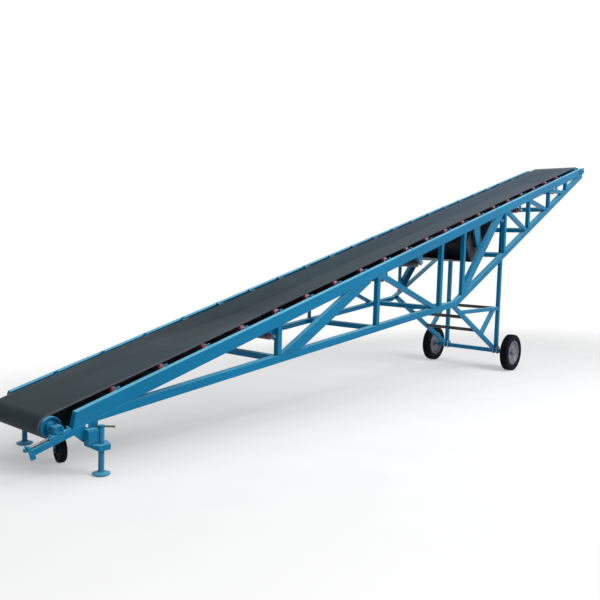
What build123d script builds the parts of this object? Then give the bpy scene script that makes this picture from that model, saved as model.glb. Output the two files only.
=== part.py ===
from build123d import *
import math
import os

# Portable belt conveyor, standing on two road wheels, a tail caster and two screw jacks.
# Units are millimetres and degrees. X runs from the tail to the head, Z is up.
# The near side is -Y and the far side is +Y.
# Sizes along the slope are given as u (up the slope) and w (square to it, upwards),
# both from the tail end of the stringers' top flange.

# Driving dimensions of the boom
INCLINE = 15.4
BELT_WIDTH = 650.0
FRAME_MARGIN = 250.0
FRAME_WIDTH = BELT_WIDTH + FRAME_MARGIN
STRINGER_LENGTH = 9240.0

# Heights at the tail, from the caster upwards
CASTER_DIA = 182.0
FORK_ROOM = 30.0
PIN_PLATE = 16.0
TAIL_BEAM = 60.0
TAIL_BEAM_DROP = 166.0
TAIL_BEAM_Z = CASTER_DIA + FORK_ROOM + PIN_PLATE + TAIL_BEAM / 2
TAIL_HEIGHT = TAIL_BEAM_Z + TAIL_BEAM_DROP

CHANNEL_DEPTH = 100.0
CHANNEL_FLANGE = 48.0
CHANNEL_WEB = 5.0
CHANNEL_LIP = 8.0
STRINGER_START = 42.0
TAIL_RAKE = 60.0
END_PLATE = 6.0

# Truss below the stringers
CHORD_SIZE = 65.0
CHORD_WALL = 6.0
CHORD_START_Z = TAIL_HEIGHT - 61.4
CHORD_RISE = 6.31
KNEE_X = 5043.0
ANGLE_SIZE = 50.0
ANGLE_WALL = 5.0
TUBE_SIZE = 50.0
TUBE_WALL = 3.0

# Belt, pulleys and rolls
BELT_THICK = 8.0
PULLEY_DIA = 140.0
PULLEY_MARGIN = 50.0
PULLEY_FACE = BELT_WIDTH + PULLEY_MARGIN
PULLEY_SHAFT = 30.0
PULLEY_RIM = 8.0
PULLEY_HUB = 64.0
PULLEY_RECESS = 22.0
BEARING_HEIGHT = 36.5
TAIL_PULLEY_U = -98.0
HEAD_OVERHANG = 50.0
HEAD_PULLEY_U = STRINGER_LENGTH + HEAD_OVERHANG
TROUGH_ANGLE = 20.0
WING_WIDTH = 200.0
TROUGH_FLAT = BELT_WIDTH - 2 * WING_WIDTH
TROUGH_START = 1100.0
TROUGH_FULL = 2100.0
HEAD_FLAT_RUN = 200.0
HEAD_CHANGE_RUN = 700.0
HEAD_FLAT = HEAD_PULLEY_U - HEAD_FLAT_RUN
HEAD_FULL = HEAD_FLAT - HEAD_CHANGE_RUN
ROLL_DIA = 60.0
CENTRE_ROLL = TROUGH_FLAT - 10.0
WING_ROLL = 215.0
WING_ROLL_OFFSET = 12.0
IDLER_FIRST = 405.0
IDLER_PITCH = 425.0
IDLER_COUNT = int((HEAD_FLAT - IDLER_FIRST) / IDLER_PITCH)
IDLER_BAR = 10.0
BAR_WIDTH = 50.0
BAR_SETBACK = 38.0
BRACKET_PLATE = 6.0
SPINDLE_FLAT = 14.0
ROLL_SIDES = 12
SHAFT_SIDES = 12
WHEEL_SIDES = 28
STAND_TOP = 13.0
RETURN_ROLL_DIA = 76.0
RETURN_MARGIN = 70.0
RETURN_ROLL_LENGTH = BELT_WIDTH + RETURN_MARGIN

# Drive in the deep part of the truss
DRIVE_DIA = 400.0
DRIVE_X = 5620.0
DRIVE_Z = TAIL_HEIGHT + 1186.0
BEND_DIA = 108.0
DRIVE_SHAFT = 45.0
BEND_SHAFT = 25.0
RETURN_ROLL_U = [u for u in (1970.0, 3700.0, 7000.0, 8300.0) if u < HEAD_FLAT]
BEND_TAIL_U = 4380.0
BEND_HEAD_U = 6420.0
BEND_U = (BEND_TAIL_U, BEND_HEAD_U)
HANGER_PLATE = 10.0

# Undercarriage
WHEEL_X = 6334.0
WHEEL_DIA = 470.0
TYRE_WIDTH = 110.0
RIM_DIA = 305.0
TRACK_MARGIN = 239.0
WHEEL_TRACK = FRAME_WIDTH + TRACK_MARGIN
AXLE_SIZE = 50.0
HUB_HALF = 42.0
AXLE_GAP = 37.5
AXLE_LENGTH = WHEEL_TRACK - 2 * (HUB_HALF + AXLE_GAP)
SPINDLE_DIA = 35.0
SPINDLE_PLAY = 0.05
LEG_SIZE = 45.0
LEG_WALL = 4.0
TIE_Z = 795.0
STRUT_FOOT_X = 5860.0
STRUT_FOOT_Z = 480.0
STRUT_HEAD_X = 6200.0
SEAT_PLATE = 10.0

# Tail gear
JACK_X = 195.0
JACK_STANDOFF = 47.0
JACK_PLANE = FRAME_WIDTH / 2 + JACK_STANDOFF
SCREW_DIA = 40.0
FOOT_DIA = 120.0
FOOT_THICK = 25.0
CASTER_WIDTH = 50.0
CASTER_TRAIL = 80.0
CASTER_TURN = -103.5
KINGPIN_DIA = 24.0
TAIL_BEAM_X = 165.0
TAIL_PLATE = 8.0
TAIL_PLATE_END = 200.0
TAIL_PLATE_START = 30.0
RAIL_SIZE = 40.0
RAIL_TAIL_U = -326.0
TOW_HOLE_DIA = 26.0
JACK_BOX = (76.0, 52.0, 92.0)
JACK_TRAY_Z = TAIL_BEAM_Z - 45.0
JACK_TRAY_LIP = 38.0
JACK_TRAY_EDGE = 8.0
JACK_PLAY = 0.5

os.makedirs("parts", exist_ok=True)

SLOPE = math.tan(math.radians(INCLINE))
COS = math.cos(math.radians(INCLINE))
SIN = math.sin(math.radians(INCLINE))
HALF = FRAME_WIDTH / 2
INNER_FACE = HALF - CHANNEL_WEB
FLANGE_TIP = HALF - CHANNEL_FLANGE
PULLEY_W = BEARING_HEIGHT - CHANNEL_DEPTH
BELT_LOW = PULLEY_W + PULLEY_DIA / 2
RETURN_W = PULLEY_W - PULLEY_DIA / 2 - BELT_THICK


def inc(u, w):
    """Point (x, z) of the slope coordinates u, w."""
    return (u * COS - w * SIN, TAIL_HEIGHT + u * SIN + w * COS)


def slab(points, y0, y1):
    """Outline of (x, z) points, extruded from y0 to y1."""
    outline = Polyline(*[(x, y0, z) for x, z in points], close=True)
    return extrude(make_face(outline), amount=y1 - y0, dir=(0, 1, 0))


def band(start, end, low, high, reach=0.0):
    """Four (x, z) points of a strip along start-end, between two offsets from that line."""
    dx, dz = end[0] - start[0], end[1] - start[1]
    length = math.hypot(dx, dz)
    dx, dz = dx / length, dz / length
    a = (start[0] - dx * reach, start[1] - dz * reach)
    b = (end[0] + dx * reach, end[1] + dz * reach)
    return [
        (a[0] - dz * low, a[1] + dx * low),
        (b[0] - dz * low, b[1] + dx * low),
        (b[0] - dz * high, b[1] + dx * high),
        (a[0] - dz * high, a[1] + dx * high),
    ]


def angle_bar(start, end, size=ANGLE_SIZE, wall=ANGLE_WALL, reach=120.0):
    """Near-side angle section: one leg in the truss's outer plane, one turned inwards."""
    outer = slab(band(start, end, -size / 2, size / 2, reach), -HALF, -HALF + wall)
    turned = slab(band(start, end, size / 2 - wall, size / 2, reach), -HALF, -FLANGE_TIP)
    return outer + turned


def channel_bar(start, end, reach=120.0):
    """Near-side channel section with its back outwards and its flanges turned inwards."""
    d = CHANNEL_DEPTH / 2
    web = slab(band(start, end, -d, d, reach), -HALF, -HALF + CHANNEL_WEB)
    low = slab(band(start, end, -d, -d + CHANNEL_LIP, reach), -HALF, -FLANGE_TIP)
    high = slab(band(start, end, d - CHANNEL_LIP, d, reach), -HALF, -FLANGE_TIP)
    return web + low + high


def square_tube(centre, slope_deg, size, wall, y0, y1):
    """Square tube along Y, turned about Y by the slope of what carries it."""
    t = math.radians(slope_deg)
    ahead = (centre[0] + math.cos(t), centre[1] + math.sin(t))
    outer = slab(band(centre, ahead, -size / 2, size / 2, size / 2 - 0.5), y0, y1)
    inner = slab(band(centre, ahead, wall - size / 2, size / 2 - wall, size / 2 - 0.5 - wall), y0, y1)
    return outer - inner


def rod(start, end, dia):
    """Round bar between two points of space."""
    a, b = Vector(*start), Vector(*end)
    return Plane(origin=a, z_dir=b - a) * Cylinder(
        dia / 2, (b - a).length, align=(Align.CENTER, Align.CENTER, Align.MIN)
    )


def across(x, z, dia, y0, y1):
    """Round bar along Y."""
    return rod((x, y0, z), (x, y1, z), dia)


def prism(start, end, dia, sides, x_dir=(COS, 0, SIN), across_flats=True):
    """Many-sided bar between two points of space, with a flat or a corner towards the belt."""
    a, b = Vector(*start), Vector(*end)
    seat = Plane(origin=a, x_dir=x_dir, z_dir=b - a)
    turn = 90 - 180 / sides if across_flats else 90
    outline = RegularPolygon(dia / 2, sides, major_radius=not across_flats, rotation=turn)
    return extrude(seat * outline, amount=(b - a).length)


def shaft(centre, dia, y0, y1, sides=SHAFT_SIDES):
    """Many-sided bar along Y whose corners lie on the given diameter."""
    x, z = centre
    return prism((x, y0, z), (x, y1, z), dia, sides, across_flats=False)


def far(shape):
    """The far-side twin of a near-side shape."""
    return mirror(shape, about=Plane.XZ)


def both(shape):
    """A near-side shape with its far-side twin."""
    return [shape, far(shape)]


# Stringers: two channels with their backs outwards and a raked tail end, closed by a plate
tail_top = inc(STRINGER_START, 0)
head_top = inc(STRINGER_LENGTH, 0)
tail_foot = inc(STRINGER_START - TAIL_RAKE, -CHANNEL_DEPTH)
stringer_outline = [tail_top, head_top, inc(STRINGER_LENGTH, -CHANNEL_DEPTH), tail_foot]
stringer_blank = slab(stringer_outline, -HALF, -FLANGE_TIP)
stringer_hollow = slab(
    band(inc(-2 * TAIL_RAKE, 0), inc(STRINGER_LENGTH + TAIL_RAKE, 0), CHANNEL_LIP - CHANNEL_DEPTH, -CHANNEL_LIP),
    CHANNEL_WEB - HALF,
    -FLANGE_TIP,
)
end_plate = slab(band(tail_foot, tail_top, -END_PLATE, 0), -HALF, -FLANGE_TIP) & stringer_blank
stringer_near = stringer_blank - stringer_hollow + end_plate


# Bottom chords: the tail chord climbs gently to the knee, the head chord steeply to the head
def tail_chord_z(x):
    """Centre line of the tail chord."""
    return CHORD_START_Z + x * math.tan(math.radians(CHORD_RISE))


knee = (KNEE_X, tail_chord_z(KNEE_X))
head_foot = inc(STRINGER_LENGTH - 30, -CHANNEL_DEPTH - 20)
HEAD_RISE = math.degrees(math.atan2(head_foot[1] - knee[1], head_foot[0] - knee[0]))


def head_chord_z(x):
    """Centre line of the head chord."""
    return knee[1] + (x - knee[0]) * math.tan(math.radians(HEAD_RISE))


def chord_z(x):
    """Centre line of the bottom chord at x."""
    return tail_chord_z(x) if x < KNEE_X else head_chord_z(x)


def chord_bar(start, end):
    """Near-side chord: an angle with its second leg along the top, turned inwards."""
    outer = slab(band(start, end, -CHORD_SIZE / 2, CHORD_SIZE / 2), -HALF, CHORD_WALL - HALF)
    turned = slab(band(start, end, CHORD_SIZE / 2 - CHORD_WALL, CHORD_SIZE / 2), -HALF, CHORD_SIZE - HALF)
    return outer + turned


# Everything below the stringers' bottom flange
below = slab(
    [inc(-600, -CHANNEL_DEPTH), inc(STRINGER_LENGTH, -CHANNEL_DEPTH), (head_top[0], -500), (-600, -500)],
    -HALF - 10,
    HALF + 10,
)
# The mitre at the knee halves the angle between the two chords
mitre = math.radians((CHORD_RISE + HEAD_RISE) / 2)
mitre_foot = (knee[0] + 400 * math.sin(mitre), knee[1] - 400 * math.cos(mitre))
mitre_head = (knee[0] - 400 * math.sin(mitre), knee[1] + 400 * math.cos(mitre))
tail_side = slab(
    [mitre_foot, mitre_head, (-600, mitre_head[1]), (-600, -500), (mitre_foot[0], -500)],
    -HALF - 10,
    HALF + 10,
)

chord_tail_point = (-100.0, tail_chord_z(-100.0))
chord_past_knee = (KNEE_X + 200, tail_chord_z(KNEE_X + 200))
chord_before_knee = (KNEE_X - 200, head_chord_z(KNEE_X - 200))
chord_head_point = (head_foot[0] + 200, head_chord_z(head_foot[0] + 200))
tail_chord_near = chord_bar(chord_tail_point, chord_past_knee) & below & tail_side
head_chord_near = (chord_bar(chord_before_knee, chord_head_point) & below) - tail_side

# The window between stringer and chord, which every web member fills from edge to edge
chord_top = CHORD_SIZE / 2
window_tail = band((0, tail_chord_z(0)), knee, 0, chord_top)[3]
window_head = band(knee, head_foot, 0, chord_top)[2]
top_of_knee = (
    knee[0] - chord_top * math.sin(mitre) / math.cos(mitre - math.radians(CHORD_RISE)),
    knee[1] + chord_top * math.cos(mitre) / math.cos(mitre - math.radians(CHORD_RISE)),
)
window = slab(
    [
        inc(-600, -CHANNEL_DEPTH),
        inc(STRINGER_LENGTH, -CHANNEL_DEPTH),
        window_head,
        top_of_knee,
        window_tail,
    ],
    -HALF - 10,
    HALF + 10,
)


def stringer_z(x):
    """Underside of the stringer at x."""
    return TAIL_HEIGHT - CHANNEL_DEPTH / COS + x * SLOPE


# Web members of one side: verticals by their x, diagonals by the x of top and bottom.
# A shorter boom has fewer of them.
WEB_END = 500.0
POST_X = (1969.0, 3420.0, 4661.0, 5182.0, 6262.0, 6990.0, 7670.0, 8300.0)
# name, x at the stringer, x at the chord, channel section or angle
DIAGONALS = (
    ("tail brace", 3150.0, 2040.0, True),
    ("band brace", 3470.0, 4610.0, False),
    ("knee brace", 6090.0, 5080.0, True),
    ("head brace 1", 6330.0, 6960.0, False),
    ("head brace 2", 7020.0, 7640.0, False),
    ("head brace 3", 7700.0, 8270.0, False),
)

posts_near = []
for x in [x for x in POST_X if x < head_foot[0] - WEB_END]:
    post = angle_bar((x, chord_z(x)), (x, stringer_z(x)))
    posts_near.append(post & window)

diagonals_near = []
for name, top_x, foot_x, is_channel in DIAGONALS:
    if foot_x > head_foot[0] - WEB_END:
        continue
    foot = (foot_x, chord_z(foot_x))
    top = (top_x, stringer_z(top_x))
    brace = channel_bar(foot, top) if is_channel else angle_bar(foot, top)
    brace = brace & window
    for post in posts_near:
        grown = post.bounding_box()
        keep_out = slab(
            [
                (grown.min.X, grown.min.Z - 200),
                (grown.max.X, grown.min.Z - 200),
                (grown.max.X, grown.max.Z + 200),
                (grown.min.X, grown.max.Z + 200),
            ],
            -HALF - 10,
            0,
        )
        brace = brace - keep_out
    pieces = sorted(brace.solids(), key=lambda s: s.volume)
    diagonals_near.append(pieces[-1])


# Cross members between the two bottom chords, under the chords' top legs
CROSS_X = (1969.0, 3420.0, 4661.0, 6262.0, 6990.0, 7670.0)
cross_members = []
for x in [x for x in CROSS_X if x < head_foot[0] - WEB_END]:
    rise = CHORD_RISE if x < KNEE_X else HEAD_RISE
    drop = CHORD_SIZE / 2 - CHORD_WALL - TUBE_SIZE / 2
    t = math.radians(rise)
    centre = (x - drop * math.sin(t), chord_z(x) + drop * math.cos(t))
    cross_members.append(
        square_tube(centre, rise, TUBE_SIZE, TUBE_WALL, CHORD_WALL - HALF, HALF - CHORD_WALL)
    )

# Belt path: pulleys inside the loop are +1, bend rollers outside it are -1
BEND_W = RETURN_W - BEND_DIA / 2
tail_pulley_at = inc(TAIL_PULLEY_U, PULLEY_W)
head_pulley_at = inc(HEAD_PULLEY_U, PULLEY_W)
bend_at = [inc(u, BEND_W) for u in BEND_U]
drive_at = (DRIVE_X, DRIVE_Z)
PATH = (
    # centre, radius of the body, side of the belt
    (head_pulley_at, PULLEY_DIA / 2, 1),
    (bend_at[1], BEND_DIA / 2, -1),
    (drive_at, DRIVE_DIA / 2, 1),
    (bend_at[0], BEND_DIA / 2, -1),
    (tail_pulley_at, PULLEY_DIA / 2, 1),
)


def tangent(c1, r1, s1, c2, r2, s2):
    """Ends of the straight belt run that leaves circle 1 and reaches circle 2."""
    dx, dz = c2[0] - c1[0], c2[1] - c1[1]
    turn = math.atan2(dz, dx) - math.asin((s1 * r1 - s2 * r2) / math.hypot(dx, dz))
    nx, nz = -math.sin(turn), math.cos(turn)
    return (c1[0] + nx * s1 * r1, c1[1] + nz * s1 * r1), (c2[0] + nx * s2 * r2, c2[1] + nz * s2 * r2)


def arc_middle(centre, radius, side, a, b):
    """Point halfway along the belt's arc round a pulley."""
    t0 = math.atan2(a[1] - centre[1], a[0] - centre[0])
    t1 = math.atan2(b[1] - centre[1], b[0] - centre[0])
    sweep = (t0 - t1) % (2 * math.pi) if side > 0 else -((t1 - t0) % (2 * math.pi))
    t = t0 - sweep / 2
    return (centre[0] + radius * math.cos(t), centre[1] + radius * math.sin(t))


def return_edge(offset):
    """One face of the return run, from the top of the head pulley to the top of the tail pulley."""
    rings = [(c, r + offset if s > 0 else r + BELT_THICK - offset, s) for c, r, s in PATH]
    runs = [tangent(*rings[i], *rings[i + 1]) for i in range(len(rings) - 1)]
    start = inc(HEAD_PULLEY_U, BELT_LOW + offset)
    finish = inc(TAIL_PULLEY_U, BELT_LOW + offset)
    enters = [start] + [run[1] for run in runs]
    leaves = [run[0] for run in runs] + [finish]
    edges = []
    for i, (centre, radius, side) in enumerate(rings):
        middle = arc_middle(centre, radius, side, enters[i], leaves[i])
        arc = ThreePointArc(*[(p[0], -BELT_WIDTH / 2, p[1]) for p in (enters[i], middle, leaves[i])])
        edges.append(arc)
        if i < len(runs):
            a, b = runs[i]
            edges.append(Line((a[0], -BELT_WIDTH / 2, a[1]), (b[0], -BELT_WIDTH / 2, b[1])))
    return edges, start, finish


inner_edges, inner_start, inner_finish = return_edge(0.0)
outer_edges, outer_start, outer_finish = return_edge(BELT_THICK)


def belt_end(a, b):
    """Edge across the belt's thickness."""
    return Line((a[0], -BELT_WIDTH / 2, a[1]), (b[0], -BELT_WIDTH / 2, b[1]))


end_edges = [belt_end(inner_start, outer_start), belt_end(inner_finish, outer_finish)]
return_wire = Wire(inner_edges + outer_edges + end_edges)
belt_return_run = extrude(make_face(return_wire), amount=BELT_WIDTH, dir=(0, 1, 0))

# Carrying run: flat at both pulleys, troughed over the idlers, its edges at one height


def belt_section(u, angle_deg):
    """Cross-section of the carrying run at u, with its wings at the given angle."""
    t = math.radians(angle_deg)
    a = TROUGH_FLAT / 2
    y_edge = a + WING_WIDTH * math.cos(t)
    low = BELT_LOW - WING_WIDTH * math.sin(t)
    corner = BELT_THICK * math.tan(t / 2)
    half_outline = [
        (a, low),
        (y_edge, BELT_LOW),
        (y_edge - BELT_THICK * math.sin(t), BELT_LOW + BELT_THICK * math.cos(t)),
        (a - corner, low + BELT_THICK),
    ]
    outline = half_outline + [(-y, w) for y, w in reversed(half_outline)]
    x, z = inc(u, 0)
    across_belt = Plane(origin=(x, 0, z), x_dir=(0, 1, 0), z_dir=(COS, 0, SIN))
    return across_belt * make_face(Polyline(*outline, close=True))


SECTIONS = (
    # u, wing angle
    (TAIL_PULLEY_U, 0.0),
    (TROUGH_START, 0.0),
    (TROUGH_FULL, TROUGH_ANGLE),
    (HEAD_FULL, TROUGH_ANGLE),
    (HEAD_FLAT, 0.0),
    (HEAD_PULLEY_U, 0.0),
)


def wing_angle(u):
    """Angle of the belt's wings at u."""
    for (u0, a0), (u1, a1) in zip(SECTIONS, SECTIONS[1:]):
        if u0 <= u <= u1:
            return a0 + (a1 - a0) * (u - u0) / (u1 - u0)
    return 0.0


belt_carrying_run = loft([belt_section(u, angle) for u, angle in SECTIONS], ruled=True)

# Pulleys, each a drum with a sunk end disc, a hub and its shaft
SHAFT_END = HALF - 12
HANGER_FACE = FLANGE_TIP - HANGER_PLATE


def pulley(centre):
    """Drum, end discs sunk behind the rim, hubs and shaft of an end pulley."""
    drum = across(*centre, PULLEY_DIA, -PULLEY_FACE / 2, PULLEY_FACE / 2)
    for side in (-1, 1):
        y0, y1 = sorted((side * (PULLEY_FACE / 2 - PULLEY_RECESS), side * PULLEY_FACE / 2))
        recess = shaft(centre, PULLEY_DIA - 2 * PULLEY_RIM, y0, y1, 2 * SHAFT_SIDES)
        drum -= recess - shaft(centre, PULLEY_HUB, y0, y1)
    return drum + shaft(centre, PULLEY_SHAFT, -SHAFT_END, SHAFT_END)


tail_pulley = pulley(tail_pulley_at)
head_pulley = pulley(head_pulley_at)
drive_drum = across(*drive_at, DRIVE_DIA, -PULLEY_FACE / 2, PULLEY_FACE / 2)
drive_drum += shaft(drive_at, DRIVE_SHAFT, -HANGER_FACE, HANGER_FACE)
bend_rollers = []
for centre in bend_at:
    roller = across(*centre, BEND_DIA, -PULLEY_FACE / 2, PULLEY_FACE / 2)
    bend_rollers.append(roller + shaft(centre, BEND_SHAFT, -HANGER_FACE, HANGER_FACE))
return_rolls = []
for u in RETURN_ROLL_U:
    x, z = inc(u, RETURN_W - RETURN_ROLL_DIA / 2)
    half = RETURN_ROLL_LENGTH / 2
    roll = shaft((x, z), RETURN_ROLL_DIA, -half, half, ROLL_SIDES)
    return_rolls.append(roll + shaft((x, z), BEND_SHAFT, -HANGER_FACE, HANGER_FACE))


def hanger(u, w, shaft_dia, width):
    """Near-side cheek from the lip of the stringer down past the shaft's end at u, w."""
    r = shaft_dia / 2 + 2 * HANGER_PLATE
    outline = [
        (u - width / 2, CHANNEL_LIP - CHANNEL_DEPTH),
        (u + width / 2, CHANNEL_LIP - CHANNEL_DEPTH),
        (u + r, w),
        (u + r / 2, w - r),
        (u - r / 2, w - r),
        (u - r, w),
    ]
    return slab([inc(*point) for point in outline], -FLANGE_TIP, -HANGER_FACE)


drive_u = DRIVE_X * COS + (DRIVE_Z - TAIL_HEIGHT) * SIN
drive_w = (DRIVE_Z - TAIL_HEIGHT) * COS - DRIVE_X * SIN
drive_hanger = hanger(drive_u, drive_w, DRIVE_SHAFT, 180)
hangers = [hanger(u, BEND_W, BEND_SHAFT, 110) for u in BEND_U]
for u in RETURN_ROLL_U:
    hangers.append(hanger(u, RETURN_W - RETURN_ROLL_DIA / 2, BEND_SHAFT, 70))


# Troughing idlers, each made level at u = 0 and then laid on the slope.
# A bar on the stringers' lower lips carries uprights, and these hold three rolls.
R = ROLL_DIA / 2
BAR_LOW = CHANNEL_LIP - CHANNEL_DEPTH
BAR_TOP = BAR_LOW + IDLER_BAR
WELD_DEPTH = 2.0


def upright(y0, y1, axis_w, top_w):
    """Post that stands on the idler bar and leans over to hold a roll's end at axis_w."""
    outline = [
        (BAR_SETBACK + BAR_WIDTH, BAR_TOP - WELD_DEPTH),
        (BAR_SETBACK, BAR_TOP - WELD_DEPTH),
        (-SPINDLE_FLAT, axis_w - SPINDLE_FLAT),
        (-SPINDLE_FLAT, top_w),
        (SPINDLE_FLAT, top_w),
    ]
    return slab(outline, *sorted((y0, y1)))


def idler(angle):
    """Bars, stands, centre rolls and wing rolls of one idler, level."""
    t = math.radians(angle)
    trough_low = BELT_LOW - WING_WIDTH * math.sin(t)
    centre_w = trough_low - R
    corner = (TROUGH_FLAT / 2 + R * math.sin(t), trough_low - R * math.cos(t))

    def on_wing(side, length):
        """Point of the wing roll's axis, measured from the trough's corner."""
        return (0, side * (corner[0] + length * math.cos(t)), corner[1] + length * math.sin(t))

    level = (1, 0, 0)
    half = CENTRE_ROLL / 2
    reach = WING_ROLL_OFFSET + WING_ROLL
    stand_y = FLANGE_TIP - 1 - BRACKET_PLATE
    stand_w = corner[1] + (stand_y - corner[0]) * math.tan(t)
    bar = Pos(BAR_SETBACK + BAR_WIDTH / 2, 0, BAR_LOW + IDLER_BAR / 2) * Box(BAR_WIDTH, 2 * INNER_FACE, IDLER_BAR)
    centre_roll = prism((0, -half, centre_w), (0, half, centre_w), ROLL_DIA, ROLL_SIDES, level, False)
    wings, stands = [], []
    for side in (-1, 1):
        wing_in = on_wing(side, WING_ROLL_OFFSET)
        wing_out = on_wing(side, reach)
        outwards = Plane(origin=wing_in, x_dir=level, z_dir=Vector(*wing_out) - Vector(*wing_in))
        beyond = outwards * Box(400, 400, 400, align=(Align.CENTER, Align.CENTER, Align.MIN))
        bar += upright(side * half, side * (half + 50), centre_w, centre_w + SPINDLE_FLAT) - beyond
        wings.append(prism(wing_in, wing_out, ROLL_DIA, ROLL_SIDES, level, False))
        stand = upright(side * stand_y, side * (stand_y + BRACKET_PLATE), stand_w, STAND_TOP) - bar
        length = reach + (stand_y + 3 - side * wing_out[1]) / math.cos(t)
        stands.append(stand + prism(wing_out, on_wing(side, length), SPINDLE_FLAT, 4, level))
    return [bar], stands, [centre_roll], wings


idler_sets = {}
bars, stands, centre_rolls, wings = [], [], [], []
for i in range(IDLER_COUNT):
    u = IDLER_FIRST + i * IDLER_PITCH
    angle = wing_angle(u)
    if angle not in idler_sets:
        idler_sets[angle] = idler(angle)
    x, z = inc(u, 0)
    laid = Pos(x, 0, z) * Rot(0, -INCLINE, 0)
    for group, pieces in zip((bars, stands, centre_rolls, wings), idler_sets[angle]):
        group.extend(laid * piece for piece in pieces)


def at(u, y, w):
    """Point of space from slope coordinates."""
    x, z = inc(u, w)
    return (x, y, z)


# Tail: plates under the stringers, a beam between them, and the take-up rails
plate_top_a = (TAIL_PLATE_START, stringer_z(TAIL_PLATE_START))
plate_top_b = (TAIL_PLATE_END, stringer_z(TAIL_PLATE_END))
plate_low = TAIL_BEAM_Z - TAIL_BEAM / 2
plate_tail_z = TAIL_HEIGHT - 144
plate_foot = [(TAIL_PLATE_END, plate_low), (TAIL_PLATE_END - 110, plate_low), (TAIL_PLATE_START, plate_tail_z)]
tail_plate = slab([plate_top_a, plate_top_b] + plate_foot, -HALF, -HALF + TAIL_PLATE)
tow_hole_at = (118.0, TAIL_HEIGHT - 93)
tail_plate -= across(*tow_hole_at, TOW_HOLE_DIA, -HALF - 1, -HALF + TAIL_PLATE + 1)
right_of_plate = slab([(TAIL_PLATE_END, 0), (3e4, 0), (3e4, 5e3), (TAIL_PLATE_END, 5e3)], -HALF - 1, HALF + 1)
tail_chord_near = tail_chord_near & right_of_plate
tail_beam = square_tube((TAIL_BEAM_X, TAIL_BEAM_Z), 0, TAIL_BEAM, 4, TAIL_PLATE - HALF, HALF - TAIL_PLATE)

rail_end_u = (TAIL_PLATE_START - CHANNEL_DEPTH * SIN) / COS
rail_line = (inc(RAIL_TAIL_U, -CHANNEL_DEPTH), inc(rail_end_u, -CHANNEL_DEPTH))
left_of_plate = slab([(TAIL_PLATE_START, 0), (-3e3, 0), (-3e3, 5e3), (TAIL_PLATE_START, 5e3)], -HALF - 1, HALF + 1)
rail = slab(band(*rail_line, -RAIL_SIZE, 0, 0), -HALF, -HALF + ANGLE_WALL)
rail += slab(band(*rail_line, -ANGLE_WALL, 0, 0), -HALF, -HALF + RAIL_SIZE)
rail = rail & left_of_plate
rail_stop = (inc(RAIL_TAIL_U, -CHANNEL_DEPTH), inc(RAIL_TAIL_U + 10, -CHANNEL_DEPTH))
rail += slab(band(*rail_stop, -1, 32), -HALF, -HALF + RAIL_SIZE)
rail_lug = (inc(RAIL_TAIL_U + 6, -CHANNEL_DEPTH - RAIL_SIZE), inc(RAIL_TAIL_U + 36, -CHANNEL_DEPTH - RAIL_SIZE))
rail += slab(band(*rail_lug, -24, 1), -HALF, -HALF + RAIL_SIZE / 2)

BEARING_Y = HALF - RAIL_SIZE / 2
BLOCK = (160.0, 34.0, 15.0)
BLOCK_DIA = 68.0


def pillow_block(centre_u):
    """Near-side pillow block on the rail, its bore round the pulley's shaft."""
    base_line = (inc(centre_u - BLOCK[0] / 2, -CHANNEL_DEPTH), inc(centre_u + BLOCK[0] / 2, -CHANNEL_DEPTH))
    y0, y1 = -BEARING_Y - BLOCK[1] / 2, -BEARING_Y + BLOCK[1] / 2
    block = slab(band(*base_line, 0, BLOCK[2]), y0, y1)
    centre = inc(centre_u, PULLEY_W)
    block += shaft(centre, BLOCK_DIA, y0, y1, 2 * SHAFT_SIDES)
    return block - shaft(centre, PULLEY_SHAFT, y0, y1)


tail_bearing = pillow_block(TAIL_PULLEY_U)
SCREW_W = 11.0 - CHANNEL_DEPTH
TAKEUP_DIA = 16.0
takeup_tail = at(RAIL_TAIL_U - 22, -BEARING_Y, SCREW_W)
takeup_head = at(TAIL_PULLEY_U - BLOCK[0] / 2, -BEARING_Y, SCREW_W)
past_stop = at(RAIL_TAIL_U + 22, -BEARING_Y, SCREW_W)
takeup_screw = prism(takeup_tail, takeup_head, TAKEUP_DIA, SHAFT_SIDES, (0, 1, 0))
rail -= prism(takeup_tail, past_stop, TAKEUP_DIA, SHAFT_SIDES, (0, 1, 0))

# Head: plates inside the channels carry the flanged bearings of the head pulley
plate_face = -INNER_FACE + TAIL_PLATE
head_plate = slab(
    band(inc(STRINGER_LENGTH - 160, 0), inc(HEAD_PULLEY_U + 45, 0), CHANNEL_LIP - CHANNEL_DEPTH, -CHANNEL_LIP),
    -INNER_FACE,
    plate_face,
)
head_plate -= shaft(head_pulley_at, PULLEY_SHAFT, -INNER_FACE, plate_face)
head_bearing = shaft(head_pulley_at, 76, plate_face, plate_face + 24, 2 * SHAFT_SIDES)
head_bearing -= shaft(head_pulley_at, PULLEY_SHAFT, plate_face, plate_face + 24)

# Undercarriage: two legs inside the chords, on one square axle
AXLE_Z = WHEEL_DIA / 2
axle_top = AXLE_Z + AXLE_SIZE / 2
leg_out = -(HALF - CHORD_SIZE)
leg_in = leg_out + LEG_SIZE
leg_low = axle_top + SEAT_PLATE
post_tail = WHEEL_X - LEG_SIZE / 2


def leg_bar(start, end, reach=0.0):
    """Square tube in the near leg's plane, open at its ends."""
    s = LEG_SIZE / 2
    outer = slab(band(start, end, -s, s, reach), leg_out, leg_in)
    inner = slab(band(start, end, LEG_WALL - s, s - LEG_WALL, reach + 1), leg_out + LEG_WALL, leg_in - LEG_WALL)
    return outer - inner


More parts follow.
